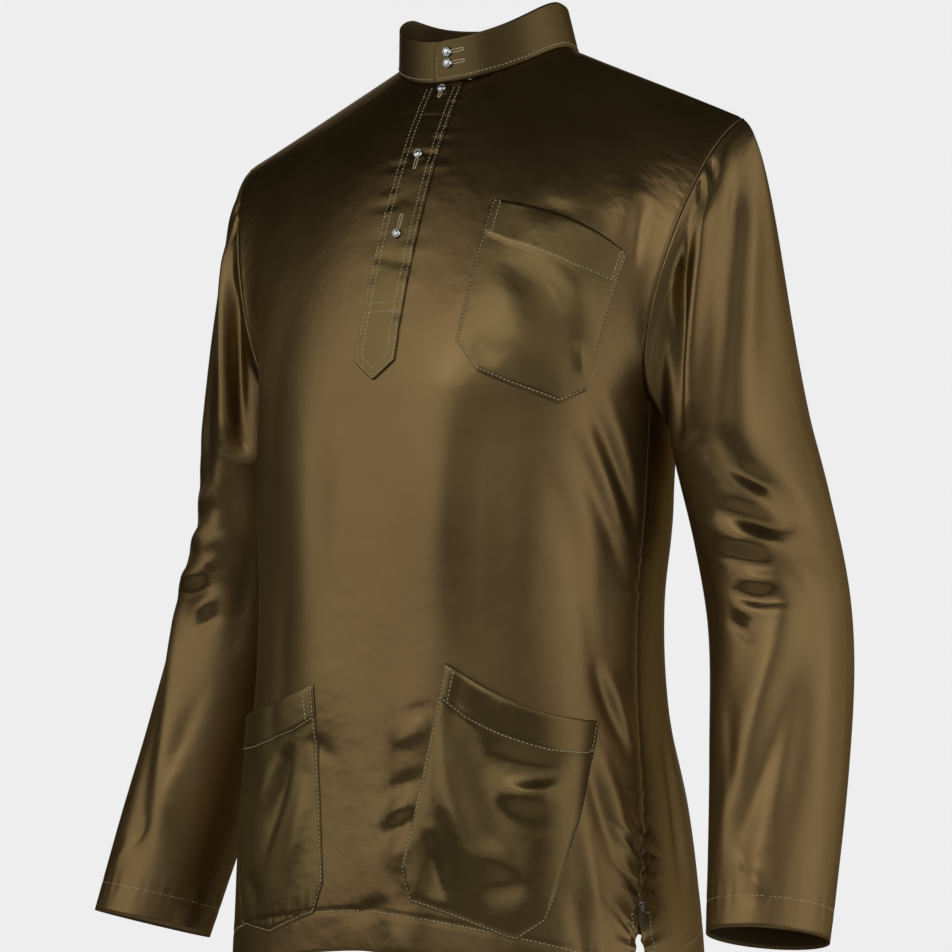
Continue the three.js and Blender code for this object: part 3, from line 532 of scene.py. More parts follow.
def addShell(name, outer, normal, wall, uv, around=False):
    # a cloth wall: the outer grid, and the inner one at the wall's thickness behind it
    rows, columns = outer.shape[:2]
    behind = outer - normal * np.broadcast_to(wall, outer.shape[:2])[..., None]
    points = np.concatenate([outer.reshape(-1, 3), behind.reshape(-1, 3)])
    front, back, strips = shellFaces(rows, columns, around)
    faces = outwards(points, np.concatenate([front, back, strips]))
    slots = np.concatenate([np.zeros(len(front)), np.ones(len(back)), np.zeros(len(strips))])
    flat = uv.reshape(-1, 2)
    return addMesh(name, points, faces, np.concatenate([flat, flat]), True, slots)


def spread(count, low, high, part=0.0):
    # steps from low to high, closer together near high where part is over nothing
    s = np.linspace(0, 1, count)
    return low + (high - low) * ((1 + part) * s - part * s**2)


placket = {"half": 17.0, "sideEnd": 406.0, "tip": 418.0, "lift": 0.8, "wall": 1.2,
           "tipSlope": 0.82, "stitchRows": (1.6, 6.4), "crossRows": (372.0, 377.0), "crossHalf": 15.0,
           "creases": [(216, 3.0, 0.5), (262, 4.0, 0.5), (302, 7.0, 0.4), (346, 4.0, 0.6)]}
pocketRows = {
    "chest_pocket": {
        "band": 26, "bow": -5, "swell": 4.0, "wide": 118.0, "long": 94.0,
        "topInner": (73, 301), "topOuter": (194, 320), "sideInner": (63, 395), "sideOuter": (170, 412),
        "cornerInner": (81, 415), "cornerOuter": (163, 428), "tip": (141, 438),
        "folds": [],
        "creases": [
            (100, 330, 130, 366, 164, 424, 13, -3.2, 0.3), (130, 330, 150, 356, 172, 396, 11, 1.6, 0.0),
            (88, 346, 100, 380, 122, 418, 12, 1.4, 0.0), (74, 394, 84, 400, 96, 412, 8, -1.2, 0.0),
            (152, 392, 158, 404, 160, 418, 5, 2.2, 0.0),
        ],
    },
    "left_hip_pocket": {
        "band": 26, "bow": 14, "swell": 13.0, "wide": 118.0, "long": 158.0,
        "topInner": (63, 634), "topOuter": (189, 664), "sideInner": (34, 792), "sideOuter": (152, 796),
        "cornerInner": (42, 818), "cornerOuter": (146, 814), "tip": (124, 832),
        "folds": [(58, 612, 88, 700, 122, 806, 19, -8.0, -0.1)],
        "creases": [
            (52, 664, 66, 740, 104, 812, 13, 4.4, 0.2), (92, 712, 122, 742, 166, 706, 11, 4.6, 0.3),
            (98, 688, 128, 716, 168, 684, 12, -4.0, 0.2), (52, 760, 58, 790, 66, 815, 7, -2.8, 0.2),
            (88, 764, 104, 778, 120, 776, 9, 2.6, 0.0), (92, 796, 112, 800, 134, 786, 9, -2.6, 0.0),
        ],
    },
    "right_hip_pocket": {
        "band": 26, "bow": 6, "swell": 6.5, "wide": 112.0, "long": 153.0,
        "topInner": (-49, 653), "topOuter": (-172, 668), "sideInner": (-41, 806), "sideOuter": (-152, 806),
        "cornerInner": (-50, 830), "cornerOuter": (-143, 830), "tip": (-98, 841),
        "folds": [],
        "creases": [
            (-70, 690, -76, 740, -112, 792, 8, -3.6, 0.3), (-90, 690, -100, 730, -130, 770, 10, 2.2, 0.0),
            (-58, 720, -60, 760, -80, 810, 9, 1.8, 0.0), (-136, 790, -124, 806, -110, 820, 8, -1.8, 0.0),
        ],
    },
}


# Where the corners of a pocket's bottom edge stand, from its inner side to its outer
pocketStops = [0, 0.17, 0.62, 0.9, 1]


def pocketPlace(row, p, q):
    # p runs from the inner side to the outer, q from the top edge to the bottom
    inner, outer = np.array(row["topInner"], float), np.array(row["topOuter"], float)
    top = inner + (outer - inner) * p[..., None]
    top[..., 1] += row["bow"] * 4 * p * (1 - p)
    corners = ("sideInner", "cornerInner", "tip", "cornerOuter", "sideOuter")
    outline = np.array([row[corner] for corner in corners], float)
    bottom = np.stack([np.interp(p, pocketStops, outline[:, k]) for k in range(2)], -1)
    return top + (bottom - top) * q[..., None]


def pocketHeight(row, p, q):
    # low at the sewn sides and bottom, standing off between them, most of all at the open top
    place = pocketPlace(row, p, q)
    sewn = np.clip(4 * p * (1 - p), 0, 1) ** 0.8 * np.clip((1 - q) * 2.2, 0, 1) ** 0.7
    top = 0.55 + 0.45 * np.clip(1 - q * 2.2, 0, 1) ** 1.5
    inside = smoothstep(np.minimum(p, 1 - p), 0.0, 0.12) * smoothstep(1 - q, 0.0, 0.1)
    crease = creaseHeight(row["creases"], place[..., 0], place[..., 1])
    crease = crease * smoothstep(q * row["long"], row["band"] - 4, row["band"] + 16)
    crease = crease + creaseHeight(row["folds"], place[..., 0], place[..., 1])
    sag = row["swell"] * sewn * top + crease * inside
    above = sag + 0.7
    return 0.6 + 0.5 * (above + np.sqrt(above**2 + 2.5))


def clothUv(across, down):
    # millimetres of cloth, the warp running up
    return np.stack(np.broadcast_arrays(across, -np.asarray(down)), -1)


# Finishes: what a user would change
satinLook = {
    "light": (0.250, 0.168, 0.070), "dark": (0.205, 0.132, 0.055), "metal": 0.88,
    "rough": 0.32, "roughSpread": (-0.04, 0.05), "stretch": 0.75, "grazing": (0.42, 0.34, 0.24, 1.0),
    "scale": {"broad": 9.0, "fine": 1400.0, "threads": (2400.0, 260.0, 1.0), "ripple": 55.0},
    "finePart": 0.35, "rippleBump": (0.34, 0.0012), "threadBump": (0.22, 0.00012),
}
threadLook = {"light": (0.86, 0.78, 0.52), "dark": (0.60, 0.52, 0.31)}


def newMaterial(name):
    material = bpy.data.materials.new(name)
    material.use_nodes = True
    return material, material.node_tree


def setInputs(tree, node, values):
    # sets a node's inputs: an output of another node is linked, anything else is the input's own value
    for key, value in values.items():
        if isinstance(value, bpy.types.NodeSocket):
            tree.links.new(value, node.inputs[key])
        else:
            node.inputs[key].default_value = value
    return node


def addNode(tree, kind, values, **settings):
    node = tree.nodes.new("ShaderNode" + kind)
    for key, value in settings.items():
        setattr(node, key, value)
    return setInputs(tree, node, values)


def noiseOf(tree, vector, scale, detail):
    return addNode(tree, "TexNoise", {"Vector": vector, "Scale": scale, "Detail": detail}).outputs["Fac"]


def bumpOf(tree, height, strength, distance, below=None):
    # relief from a height, laid over the relief below it
    values = {"Height": height, "Strength": strength, "Distance": distance}
    if below:
        values["Normal"] = below
    return addNode(tree, "Bump", values).outputs["Normal"]


def rangeOf(tree, value, low, high, start=0.0, end=1.0, curve="LINEAR"):
    # from low at start to high at end
    values = {"Value": value, "From Min": start, "From Max": end, "To Min": low, "To Max": high}
    return addNode(tree, "MapRange", values, interpolation_type=curve).outputs["Result"]


def rampOf(tree, factor, dark, light, start, end):
    # from dark at start to light at end
    ramp = addNode(tree, "ValToRGB", {"Fac": factor})
    for stop, place, colour in zip(ramp.color_ramp.elements, (start, end), (dark, light)):
        stop.position = place
        stop.color = (*colour, 1)
    return ramp.outputs["Color"]


def satin(name, shade=(1.0, 1.0, 1.0), metal=1.0, rough=0.0):
    # a metallic finish stretched along the warp: spots of two colours, threads and soft ripples
    material, tree = newMaterial(name)
    place = addNode(tree, "TexCoord", {}).outputs["UV"]
    scale = satinLook["scale"]
    broad = noiseOf(tree, place, scale["broad"], 3.0)
    fine = noiseOf(tree, place, scale["fine"], 2.0)
    both = addNode(tree, "Math", {0: fine, 1: satinLook["finePart"], 2: broad}, operation="MULTIPLY_ADD")
    dark, light = ([c * k for c, k in zip(satinLook[end], shade)] for end in ("dark", "light"))
    warp = addNode(tree, "Mapping", {"Vector": place, "Scale": scale["threads"]}).outputs["Vector"]
    threads = noiseOf(tree, warp, 1.0, 2.0)
    ripple = noiseOf(tree, place, scale["ripple"], 2.0)
    soft = bumpOf(tree, ripple, *satinLook["rippleBump"])
    tangent = addNode(tree, "Tangent", {}, direction_type="UV_MAP", uv_map="cloth")
    low, high = (satinLook["rough"] + rough + step for step in satinLook["roughSpread"])
    setInputs(tree, tree.nodes["Principled BSDF"], {
        "Base Color": rampOf(tree, both.outputs[0], dark, light, 0.50, 0.85),
        "Normal": bumpOf(tree, threads, *satinLook["threadBump"], soft),
        "Roughness": rangeOf(tree, broad, low, high),
        "Metallic": satinLook["metal"] * metal,
        "Anisotropic": satinLook["stretch"],
        "Specular Tint": satinLook["grazing"],
        "Tangent": tangent.outputs["Tangent"],
    })
    return material


def speckled(name, light, dark, scale, roughRange, metallic=0.0, bump=0.0):
    # two colours mixed by noise, with roughness and relief from the same noise
    material, tree = newMaterial(name)
    noise = noiseOf(tree, addNode(tree, "TexCoord", {}).outputs["Object"], scale, 3.0)
    values = {"Base Color": rampOf(tree, noise, dark, light, 0.35, 0.65),
              "Roughness": rangeOf(tree, noise, *roughRange), "Metallic": metallic}
    if bump:
        values["Normal"] = bumpOf(tree, noise, bump, 0.0002)
    setInputs(tree, tree.nodes["Principled BSDF"], values)
    return material


satinOut = satin("olive satin")
satinIn = satin("olive satin, matt side", shade=(0.5, 0.5, 0.5), metal=0.4, rough=0.2)
# a slightly darker, greener copy for the placket and pockets; its darkening is painted shade
satinBandShaded = satin("olive satin, folded band, painted shade", shade=(0.90, 0.94, 0.90))
# the collar's copy is much darker: painted shade, the whole collar darkened to stand in for the shade on its
# front
satinCollarShaded = satin("olive satin, collar with painted shade", shade=(0.60, 0.63, 0.61))
threadMaterial = speckled("gold beige thread", threadLook["light"], threadLook["dark"], 900, (0.45, 0.65),
                          bump=0.4)
silver = speckled("polished silver", (0.86, 0.86, 0.85), (0.66, 0.66, 0.66), 600, (0.10, 0.24), 1.0)
stoneMaterial = speckled("foil backed stone", (0.97, 0.98, 1.0), (0.80, 0.84, 0.90), 500, (0.02, 0.06), 0.85)
tapeMaterial = speckled("woven tape", (0.075, 0.058, 0.034), (0.045, 0.035, 0.02), 1500, (0.7, 0.85),
                        bump=0.3)
zipMetal = speckled("bright zip metal", (0.80, 0.80, 0.79), (0.58, 0.58, 0.58), 800, (0.14, 0.3), 1.0)
print("materials made")


def dress(piece, slotName, materials, *nodes):
    # gives a piece its materials, the tunic to ride on and the nodes that it stands for; slotName is not used
    for material in materials:
        piece.data.materials.append(material)
    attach(piece, "tunic")
    if nodes:
        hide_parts(*nodes)
    return piece


# Camera at the photograph's place: azimuth from the front towards the wearer's left, slightly below
cameraRow = {"azimuth": 33.0, "distance": 2.5, "height": -0.47, "yaw": 33.2, "pitch": 3.0,
             "focal": 3125.0, "frame": 952.0, "sensor": 36.0}
turnTo = math.radians(cameraRow["azimuth"])
lens = bpy.data.cameras.new("camera")
lens.sensor_width = cameraRow["sensor"]
lens.lens = cameraRow["focal"] / cameraRow["frame"] * cameraRow["sensor"]
lens.clip_end = 50
camera = bpy.data.objects.new("camera", lens)
camera.location = (math.sin(turnTo) * cameraRow["distance"], -math.cos(turnTo) * cameraRow["distance"],
                   cameraRow["height"])
camera.rotation_euler = (math.radians(90 + cameraRow["pitch"]), 0, math.radians(cameraRow["yaw"]))
scene.collection.objects.link(camera)
scene.camera = camera

panelGrid = {"front": {"shoulder": 46, "neck": 30, "yoke": 90, "skirt": 165, "ventFade": 12},
             "back": {"shoulder": 36, "neck": 24, "yoke": 60, "skirt": 120, "ventFade": 12}}


def twoParts(first, second):
    # one column of equal steps from 0 to 1 and then from 1 to 2
    return np.concatenate([np.linspace(0, 1, first + 1), np.linspace(1, 2, second + 1)[1:]])[:, None]


def addPanel(side):
    # columns: equal turns round the neck, then steps along the shoulder that shorten to the seam
    size = panelGrid[side]
    outer = spread(size["shoulder"], neckU, 1.0, 0.7)
    middle = neckU * np.sin(np.linspace(-np.pi / 2, np.pi / 2, size["neck"] + 1))
    u = np.concatenate([-outer[::-1], middle[1:-1], outer])[None, :]
    v = twoParts(size["yoke"], size["skirt"])
    t = v + neckCutAt(side, u) * np.clip(1 - v, 0, 1) ** 2
    u, t = np.broadcast_arrays(u, t)
    edgeU = u - np.sign(u) * ventOpening(t[:, :1]) / cloth["edge"] * np.abs(u) ** size["ventFade"]
    points = torsoPoint(side, edgeU, t)
    normal = gridNormal(points)
    if (normal[len(points) // 2, points.shape[1] // 2, 1] > 0) == (side == "front"):
        normal = -normal
    uv = clothUv(edgeU * cloth["across"], t * cloth["down"])
    return addShell(side + "_cloth", points, normal, cloth["wall"], uv)


sleeveGrid = {"turns": 120, "cap": 50, "arm": 112}


def addSleeve(arm, name):
    # rings of equal turns, closed round the arm
    turns = np.linspace(0, 2 * np.pi, sleeveGrid["turns"], endpoint=False)[None, :]
    theta, v = np.broadcast_arrays(turns, twoParts(sleeveGrid["cap"], sleeveGrid["arm"]))
    points = sleevePoint(arm, theta, v)
    normal = gridNormal(points, True)
    middle = points[100].mean(0)
    if ((points[100] - middle) * normal[100]).sum() < 0:
        normal = -normal
    uv = clothUv(np.degrees(theta), sleeveDown(v))
    return addShell(name, points, normal, cloth["wall"], uv, around=True)


bothSides = [satinOut, satinIn]
frontCloth = dress(addPanel("front"), "satin", bothSides, "front_panel")
backCloth = dress(addPanel("back"), "satin", bothSides, "back_panel")
leftSleeve = dress(addSleeve(1, "left_sleeve_cloth"), "satin", bothSides, "left_sleeve")
rightSleeve = dress(addSleeve(-1, "right_sleeve_cloth"), "satin", bothSides, "right_sleeve")
print("panels and sleeves made")

collar = {"front": 34.0, "back": 38.0, "wall": 2.2, "outside": 0.9, "taper": 5.0, "lean": 8.0,
          "over": 2.8, "corner": 12.0, "start": -7.0, "end": 372.0, "coverTo": 20.0, "restFrom": 50.0,
          "depth": 62.0, "foot": 0.3}


def collarPoint(turn, h, out):
    # h from 0 at the seam to 1 at the top edge, out in millimetres from the neckline
    angle = np.radians(turn)
    sine, cosine = np.sin(angle), np.cos(angle)
    full = collar["front"] + (collar["back"] - collar["front"]) * (0.5 - 0.5 * cosine)
    fromEnd = np.radians(turn - collar["start"]) * neck["half"]
    short = np.clip(collar["corner"] - fromEnd, 0, None)
    height = full - collar["corner"] + np.sqrt(np.clip(collar["corner"] ** 2 - short**2, 0, None))
    covered = 1 - smoothstep(turn, collar["coverTo"], collar["restFrom"])
    outward = unit(np.stack([sine / neck["half"], -cosine / collar["depth"], 0 * sine], -1))
    rise = h * height / full
    shift = np.stack([-collar["taper"] * sine * rise, (collar["taper"] * cosine - collar["lean"]) * rise,
                      collar["foot"] + (height - collar["foot"]) * h], -1)
    return neckPoint(angle) + shift + outward * (out + collar["over"] * covered)[..., None]


def addCollar():
    # the wall narrows in a half circle at the top edge and at the two ends
    front, back = np.array([0, 0.3, 0.8, 1.6, 2.8, 4.2]), np.array([1.2, 0.6, 0.2, 0])
    between = np.linspace(0, collar["end"] - 2, 150)
    turns = np.concatenate([collar["start"] + front, between, collar["end"] - back])
    h = np.concatenate([np.linspace(0, 0.9, 16), np.array([0.94, 0.965, 0.985, 0.996, 1.0])])
    turn, up = np.meshgrid(turns, h)
    half = collar["wall"] / 2
    fromTop = (1 - up) * collar["front"]
    fromEnd = np.minimum(turn - collar["start"], collar["end"] - turn) * np.radians(1) * neck["half"]
    near = np.clip(np.minimum(fromTop, fromEnd) / half, 0, 1)
    thick = half * np.sqrt(np.clip(1 - (1 - near) ** 2, 0.01, 1))
    centre = collar["outside"] - half
    outer = collarPoint(turn, up, centre + thick)
    inner = collarPoint(turn, up, centre - thick)
    wall = outer - inner
    uv = clothUv(np.radians(turn) * neck["half"], -up * collar["back"])
    return addShell("collar_cloth", outer, unit(wall), np.linalg.norm(wall, axis=-1), uv)


def rounded(length, count, edge=0.9):
    # places along a length, with extra ones near both ends for a rounded edge
    ends = np.array([0, 0.15, 0.4, 0.8]) * edge
    middle = np.linspace(edge, length - edge, count)
    return np.concatenate([ends, middle, length - ends[::-1]]) / length


def edgeWall(distance, wall, radius=0.9):
    # thickness that falls off in a quarter circle within radius of an edge
    s = np.clip(distance / radius, 0, 1)
    return wall * np.sqrt(np.clip(1 - (1 - s) ** 2, 0.02, 1))


def placketPoint(across, down, lift=0.0):
    # the strip over the front opening: rolled edges, grooves under its two rows of stitches, cross creases
    side = np.abs(across) / placket["half"]
    end = placket["tip"] - (placket["tip"] - placket["sideEnd"]) * side
    far = np.clip(np.minimum(placket["half"] - np.abs(across), (end - down) * placket["tipSlope"]), 0, None)
    line = sum(np.exp(-((far - row) / 0.7) ** 2) for row in placket["stitchRows"]) * 0.25
    height = placket["lift"] + edgeWall(far, placket["wall"]) - line
    for place, wide, deep in placket["creases"]:
        height = height - deep * np.exp(-((down - place - 0.12 * across) / wide) ** 2)
    return onFront(across, down, height + lift), height


def addPlacket():
    # rows from the neckline to the pointed end
    p = rounded(2 * placket["half"], 20) * 2 - 1
    q = rounded(placket["sideEnd"] - 167.0, 130)
    p, q = np.meshgrid(p, q)
    start = neck["front"] * cloth["down"] + 1.0
    end = placket["tip"] - (placket["tip"] - placket["sideEnd"]) * np.abs(p)
    down = start + (end - start) * q
    across = p * placket["half"]
    outer, height = placketPoint(across, down)
    normal = frontNormal(across, down)
    return addShell("placket_cloth", outer, normal, height - 0.3, clothUv(across, down))


def pocketEdge(row, p, q):
    # distance in from the sewn sides and bottom, in millimetres
    return np.minimum(np.minimum(p, 1 - p) * row["wide"], (1 - q) * row["long"])


def pocketPoint(row, p, q, lift=0.0):
    # the pocket's height over the front: a step at the band's edge, rolled edges and a groove inside them
    place = pocketPlace(row, p, q)
    far = pocketEdge(row, p, q)
    bandPart = row["band"] / row["long"]
    height = pocketHeight(row, p, q) + 0.55 * smoothstep(bandPart - q, -0.006, 0.006)
    height = height * (0.35 + 0.65 * smoothstep(far, 0, 2.5)) - 0.3 * np.exp(-((far - 1.8) / 0.8) ** 2)
    height = height - 0.35 * np.exp(-((q - bandPart + 0.008) / 0.006) ** 2)
    height = height - 0.7 * (1 - smoothstep(q * row["long"], 0.0, 1.4))
    return onFront(place[..., 0], place[..., 1], height + lift), height


def addPocket(name):
    # band and body in one wall that thins to its edges
    row = pocketRows[name]
    p, q = np.meshgrid(rounded(row["wide"], 80), rounded(row["long"], 96))
    place = pocketPlace(row, p, q)
    outer, height = pocketPoint(row, p, q)
    normal = frontNormal(place[..., 0], place[..., 1])
    far = np.minimum(pocketEdge(row, p, q), q * row["long"])
    wall = np.minimum(edgeWall(far, 1.0), height - 0.2)
    return addShell(name + "_cloth", outer, normal, wall, clothUv(place[..., 0], place[..., 1]))


dress(addCollar(), "satin", [satinCollarShaded, satinIn], "collar")
dress(addPlacket(), "satin", [satinBandShaded, satinIn], "placket")
for name in pocketRows:
    dress(addPocket(name), "satin", [satinBandShaded, satinIn], name, name + "_band")
print("collar, placket and pockets made")

stitch = {"length": 2.3, "pitch": 3.3, "wide": 0.75, "high": 0.36, "sides": 5}


def stitchShape():
    # a short closed spindle: rings of a flattened circle that narrow to a point at both ends
    rings = [(-0.38, 0.72), (0.0, 1.0), (0.38, 0.72)]
    turn = np.linspace(0, 2 * np.pi, stitch["sides"], endpoint=False)
    points = [[-0.5, 0, 0]]
    for along, size in rings:
        ring = np.stack([np.full(turn.shape, along), np.cos(turn) * size / 2, np.sin(turn) * size / 2], -1)
        points += ring.tolist()
    points.append([0.5, 0, 0])
    n, last = stitch["sides"], 1 + len(rings) * stitch["sides"]
    k = np.arange(n)
    faces = [np.stack([0 * k, 1 + (k + 1) % n, 1 + k, 1 + k], -1)]
    for r in range(len(rings) - 1):
        a, b = 1 + r * n, 1 + (r + 1) * n
        faces.append(np.stack([a + k, a + (k + 1) % n, b + (k + 1) % n, b + k], -1))
    end = 1 + (len(rings) - 1) * n
    faces.append(np.stack([end + k, end + (k + 1) % n, last + 0 * k, last + 0 * k], -1))
    return np.array(points, float), np.concatenate(faces)


def frameOn(surface, a, b, turnAround=1.0):
    # place, unit steps along the two numbers and the outward normal of a surface
    place = surface(a, b)
    stepA = surface(a + 0.4, b) - surface(a - 0.4, b)
    stepB = surface(a, b + 0.4) - surface(a, b - 0.4)
    return place, unit(stepA), unit(stepB), unit(np.cross(stepB, stepA)) * turnAround


def stitchRun(surface, line, turnAround=1.0):
    # equal steps along a line drawn on a surface: each stitch's place, direction and normal
    line = np.asarray(line, float)
    dense = np.linspace(0, len(line) - 1, 60 * (len(line) - 1) + 1)
    a, b = (np.interp(dense, np.arange(len(line)), line[:, k]) for k in range(2))
    way = surface(a, b)
    length = np.concatenate([[0], np.cumsum(np.linalg.norm(np.diff(way, axis=0), axis=1))])
    places = np.arange(stitch["pitch"] / 2, length[-1], stitch["pitch"])
    a, b, k = (np.interp(places, length, values) for values in (a, b, dense))
    place, _, _, normal = frameOn(surface, a, b, turnAround)
    ahead = np.stack([np.interp(places + 0.5, length, way[:, m]) - np.interp(places - 0.5, length, way[:, m])
                      for m in range(3)], -1)
    return place, unit(ahead), normal


def addStitches(name, runs, size=stitch, slotName="thread", material=None):
    # one spindle at each place, its length along the run and its height along the normal
    place, along, normal = (np.concatenate([run[k] for run in runs]) for k in range(3))
    side = unit(np.cross(normal, along))
    up = unit(np.cross(along, side))
    shape, faces = stitchShape()
    points = (place[:, None] + along[:, None] * shape[None, :, :1] * size["length"]
              + side[:, None] * shape[None, :, 1:2] * size["wide"]
              + up[:, None] * (shape[None, :, 2:] * size["high"] * 2 + 0.12))
    every = (faces[None] + np.arange(len(place))[:, None, None] * len(shape)).reshape(-1, 4)
    dress(addMesh(name, points.reshape(-1, 3), every), slotName, [material or threadMaterial])


def onPlacket(a, b):
    return placketPoint(a, b)[0]


placketRuns = []
top = neck["front"] * cloth["down"] + 8
for inset in placket["stitchRows"]:
    edge = placket["half"] - inset
    low = placket["sideEnd"] - inset * 0.5
    tip = placket["tip"] - inset / placket["tipSlope"]
    placketRuns.append(stitchRun(onPlacket, [(-edge, top), (-edge, low), (0, tip), (edge, low), (edge, top)]))
for down in placket["crossRows"]:
    placketRuns.append(stitchRun(onPlacket, [(-placket["crossHalf"], down), (placket["crossHalf"], down)]))
addStitches("placket_stitches", placketRuns)

# Pocket stitches: insets from the sides, bottom and top, of the upright rows and above the band's edge
pocketStitch = {"side": 1.6, "bottom": 2.0, "top": 1.2, "upright": 7.0, "band": 1.4}
for name, row in pocketRows.items():
    surface = lambda a, b, row=row: pocketPoint(row, a / row["wide"], b / row["long"])[0]
    wide, long, band = row["wide"], row["long"], row["band"]
    sense = -1.0 if name == "right_hip_pocket" else 1.0
    top, low, inner = pocketStitch["top"], long - pocketStitch["bottom"], pocketStitch["side"]
    outer, upright, along = wide - inner, pocketStitch["upright"], band - pocketStitch["band"]
    corners = [(part * wide, low) for part in pocketStops[1:4]]
    lines = [[(inner, top), (inner, low), *corners, (outer, low), (outer, top)],
             [(upright, top), (upright, band - 1)], [(wide - upright, top), (wide - upright, band - 1)],
             [(inner, along), (outer, along)], [(inner, top), (upright, top)],
             [(wide - upright, top), (outer, top)]]
    addStitches(name + "_stitches", [stitchRun(surface, line, sense) for line in lines])
print("placket and pocket stitches made")


def onTorso(side):
    # a side's surface with both numbers in millimetres of cloth
    return lambda a, b: torsoPoint(side, np.asarray(a) / cloth["across"], np.asarray(b) / cloth["down"])


def sideU(t, inside):
    # across of a line that runs a given distance inside the side edge, which draws back at the vent
    return 1 - (ventOpening(t) + inside) / cloth["edge"]


# Hem stitches: half the row above the hem, where the rows beside the vent start and end, their top corner
hemStitch = {"half": 222, "vent": (1.84, 1.985), "ventSide": 237}
hemRuns = []
for side, sense in (("front", 1.0), ("back", -1.0)):
    down = (2 - hemFold["deep"] / cloth["skirt"]) * cloth["down"]
    half = hemStitch["half"]
    hemRuns.append(stitchRun(onTorso(side), [(-half, down), (0, down), (half, down)], sense))
    t = np.linspace(*hemStitch["vent"], 8)
    u = sideU(t, hem["stitch"])
    for hand in (1, -1):
        line = np.stack([hand * u * cloth["across"], t * cloth["down"]], -1)
        hemRuns.append(stitchRun(onTorso(side), line, sense))
        topLine = [line[0], (hand * hemStitch["ventSide"], line[0, 1] + 2)]
        hemRuns.append(stitchRun(onTorso(side), topLine, sense))
addStitches("hem_stitches", hemRuns)

# Cuff stitches: steps round the arm, so many to a radian
cuffRuns = []
perRadian = 60.0
for arm in (1, -1):
    v = 2 - cuffFold["deep"] / cloth["armLength"]
    onSleeve = lambda a, b, arm=arm: sleevePoint(arm, a / perRadian, b / cloth["armLength"])
    eighths = [(k * perRadian * np.pi / 4, v * cloth["armLength"]) for k in range(9)]
    cuffRuns.append(stitchRun(onSleeve, eighths, float(-arm)))
addStitches("cuff_stitches", cuffRuns)

onCollar = lambda a, b: collarPoint(np.asarray(a), np.asarray(b) / collar["front"],
                                    np.full(np.shape(a), collar["outside"]))
addStitches("collar_stitches", [
    stitchRun(onCollar, [(-5.5, 4.0), *((turn, 3.6) for turn in (60, 120, 180, 240, 300, 350))], -1.0),
    stitchRun(onCollar, [(-5.0, 5.0), (-5.0, 24.0)], -1.0),
])
print("hem, cuff and collar stitches made")

buttonhole = {"long": 11.0, "wide": 2.3, "thread": 0.42, "start": 3.0}
studPlaces = {
    "placket_stud_1": (0.0, 173.0, 1), "placket_stud_2": (0.0, 263.0, 1), "placket_stud_3": (0.0, 329.0, -1),
}
collarStuds = {"turn": 3.5, "heights": {"collar_stud_1": 24.0, "collar_stud_2": 15.0}}


def tubeRound(path, normal, radius, sides=6):
    # a closed tube round a closed path
    ahead = unit(np.roll(path, -1, 0) - np.roll(path, 1, 0))
    side = unit(np.cross(normal, ahead))
    turn = np.linspace(0, 2 * np.pi, sides, endpoint=False)[None, :, None]
    points = path[:, None] + radius * (np.cos(turn) * side[:, None] + np.sin(turn) * normal[:, None])
    rows = len(path)
    j, i = np.meshgrid(np.arange(rows), np.arange(sides), indexing="ij")
    at = lambda j, i: (j % rows) * sides + i % sides
    faces = np.stack([at(j, i), at(j, i + 1), at(j + 1, i + 1), at(j + 1, i)], -1).reshape(-1, 4)
    return points.reshape(-1, 3), faces


def joined(parts):
    # several shapes as one, each one's faces counted on from the points before it
    points = np.concatenate([p for p, f in parts])
    starts = np.cumsum([0] + [len(p) for p, f in parts[:-1]])
    return points, np.concatenate([f + n for (p, f), n in zip(parts, starts)])


def buttonholeLoop(surface, a, b, alongA, alongB, turnAround):
    # a stadium curve from beside the stud away from it, drawn on the surface
    s = np.linspace(0, 2 * np.pi, 40, endpoint=False)
    half, wide = buttonhole["long"] / 2, buttonhole["wide"] / 2
    run = np.clip(np.cos(s) * half * 1.25, -half, half) + buttonhole["start"] + half
    off = np.sign(np.sin(s)) * wide * np.abs(np.sin(s)) ** 0.45
    place, _, _, normal = frameOn(surface, a + alongA * run + alongB * off, b + alongB * run + alongA * off,
                                  turnAround)
    points, faces = tubeRound(place + normal * 0.2, normal, buttonhole["thread"])
    return points, outwards(points, faces)


loops = [buttonholeLoop(onPlacket, x, down, 0.0, float(way), 1.0) for x, down, way in studPlaces.values()]
perTurn = np.radians(1) * neck["half"]
onCollarMm = lambda a, b: onCollar(np.asarray(a) / perTurn, b)
for height in collarStuds["heights"].values():
    loops.append(buttonholeLoop(onCollarMm, collarStuds["turn"] * perTurn, height, 1.0, 0.0, -1.0))
points, faces = joined(loops)
dress(addMesh("buttonholes", points, faces), "thread", [threadMaterial])

stud = {"sides": 32, "prongs": 6, "onPlacket": 2.3, "onCollar": 0.3}


def lathe(profile, sides):
    # a profile of radius and height turned round its axis and closed at both ends
    radius, height = np.array(profile, float).T
    turn = np.linspace(0, 2 * np.pi, sides, endpoint=False)
    rings = np.stack([radius[:, None] * np.cos(turn), radius[:, None] * np.sin(turn),
                      np.repeat(height[:, None], sides, 1)], -1)
    points = np.concatenate([rings.reshape(-1, 3), [[0, 0, height[0]], [0, 0, height[-1]]]])
    j, i = np.meshgrid(np.arange(len(radius) - 1), np.arange(sides), indexing="ij")
    at = lambda j, i: j * sides + i % sides
    body = np.stack([at(j, i), at(j, i + 1), at(j + 1, i + 1), at(j + 1, i)], -1).reshape(-1, 4)
    i = np.arange(sides)
    n, last = len(points), len(radius) - 1
    foot = np.stack([np.full(sides, n - 2), at(0, i + 1), at(0, i), at(0, i)], -1)
    head = np.stack([np.full(sides, n - 1), at(last, i), at(last, i + 1), at(last, i + 1)], -1)
    return points, np.concatenate([body, foot, head])


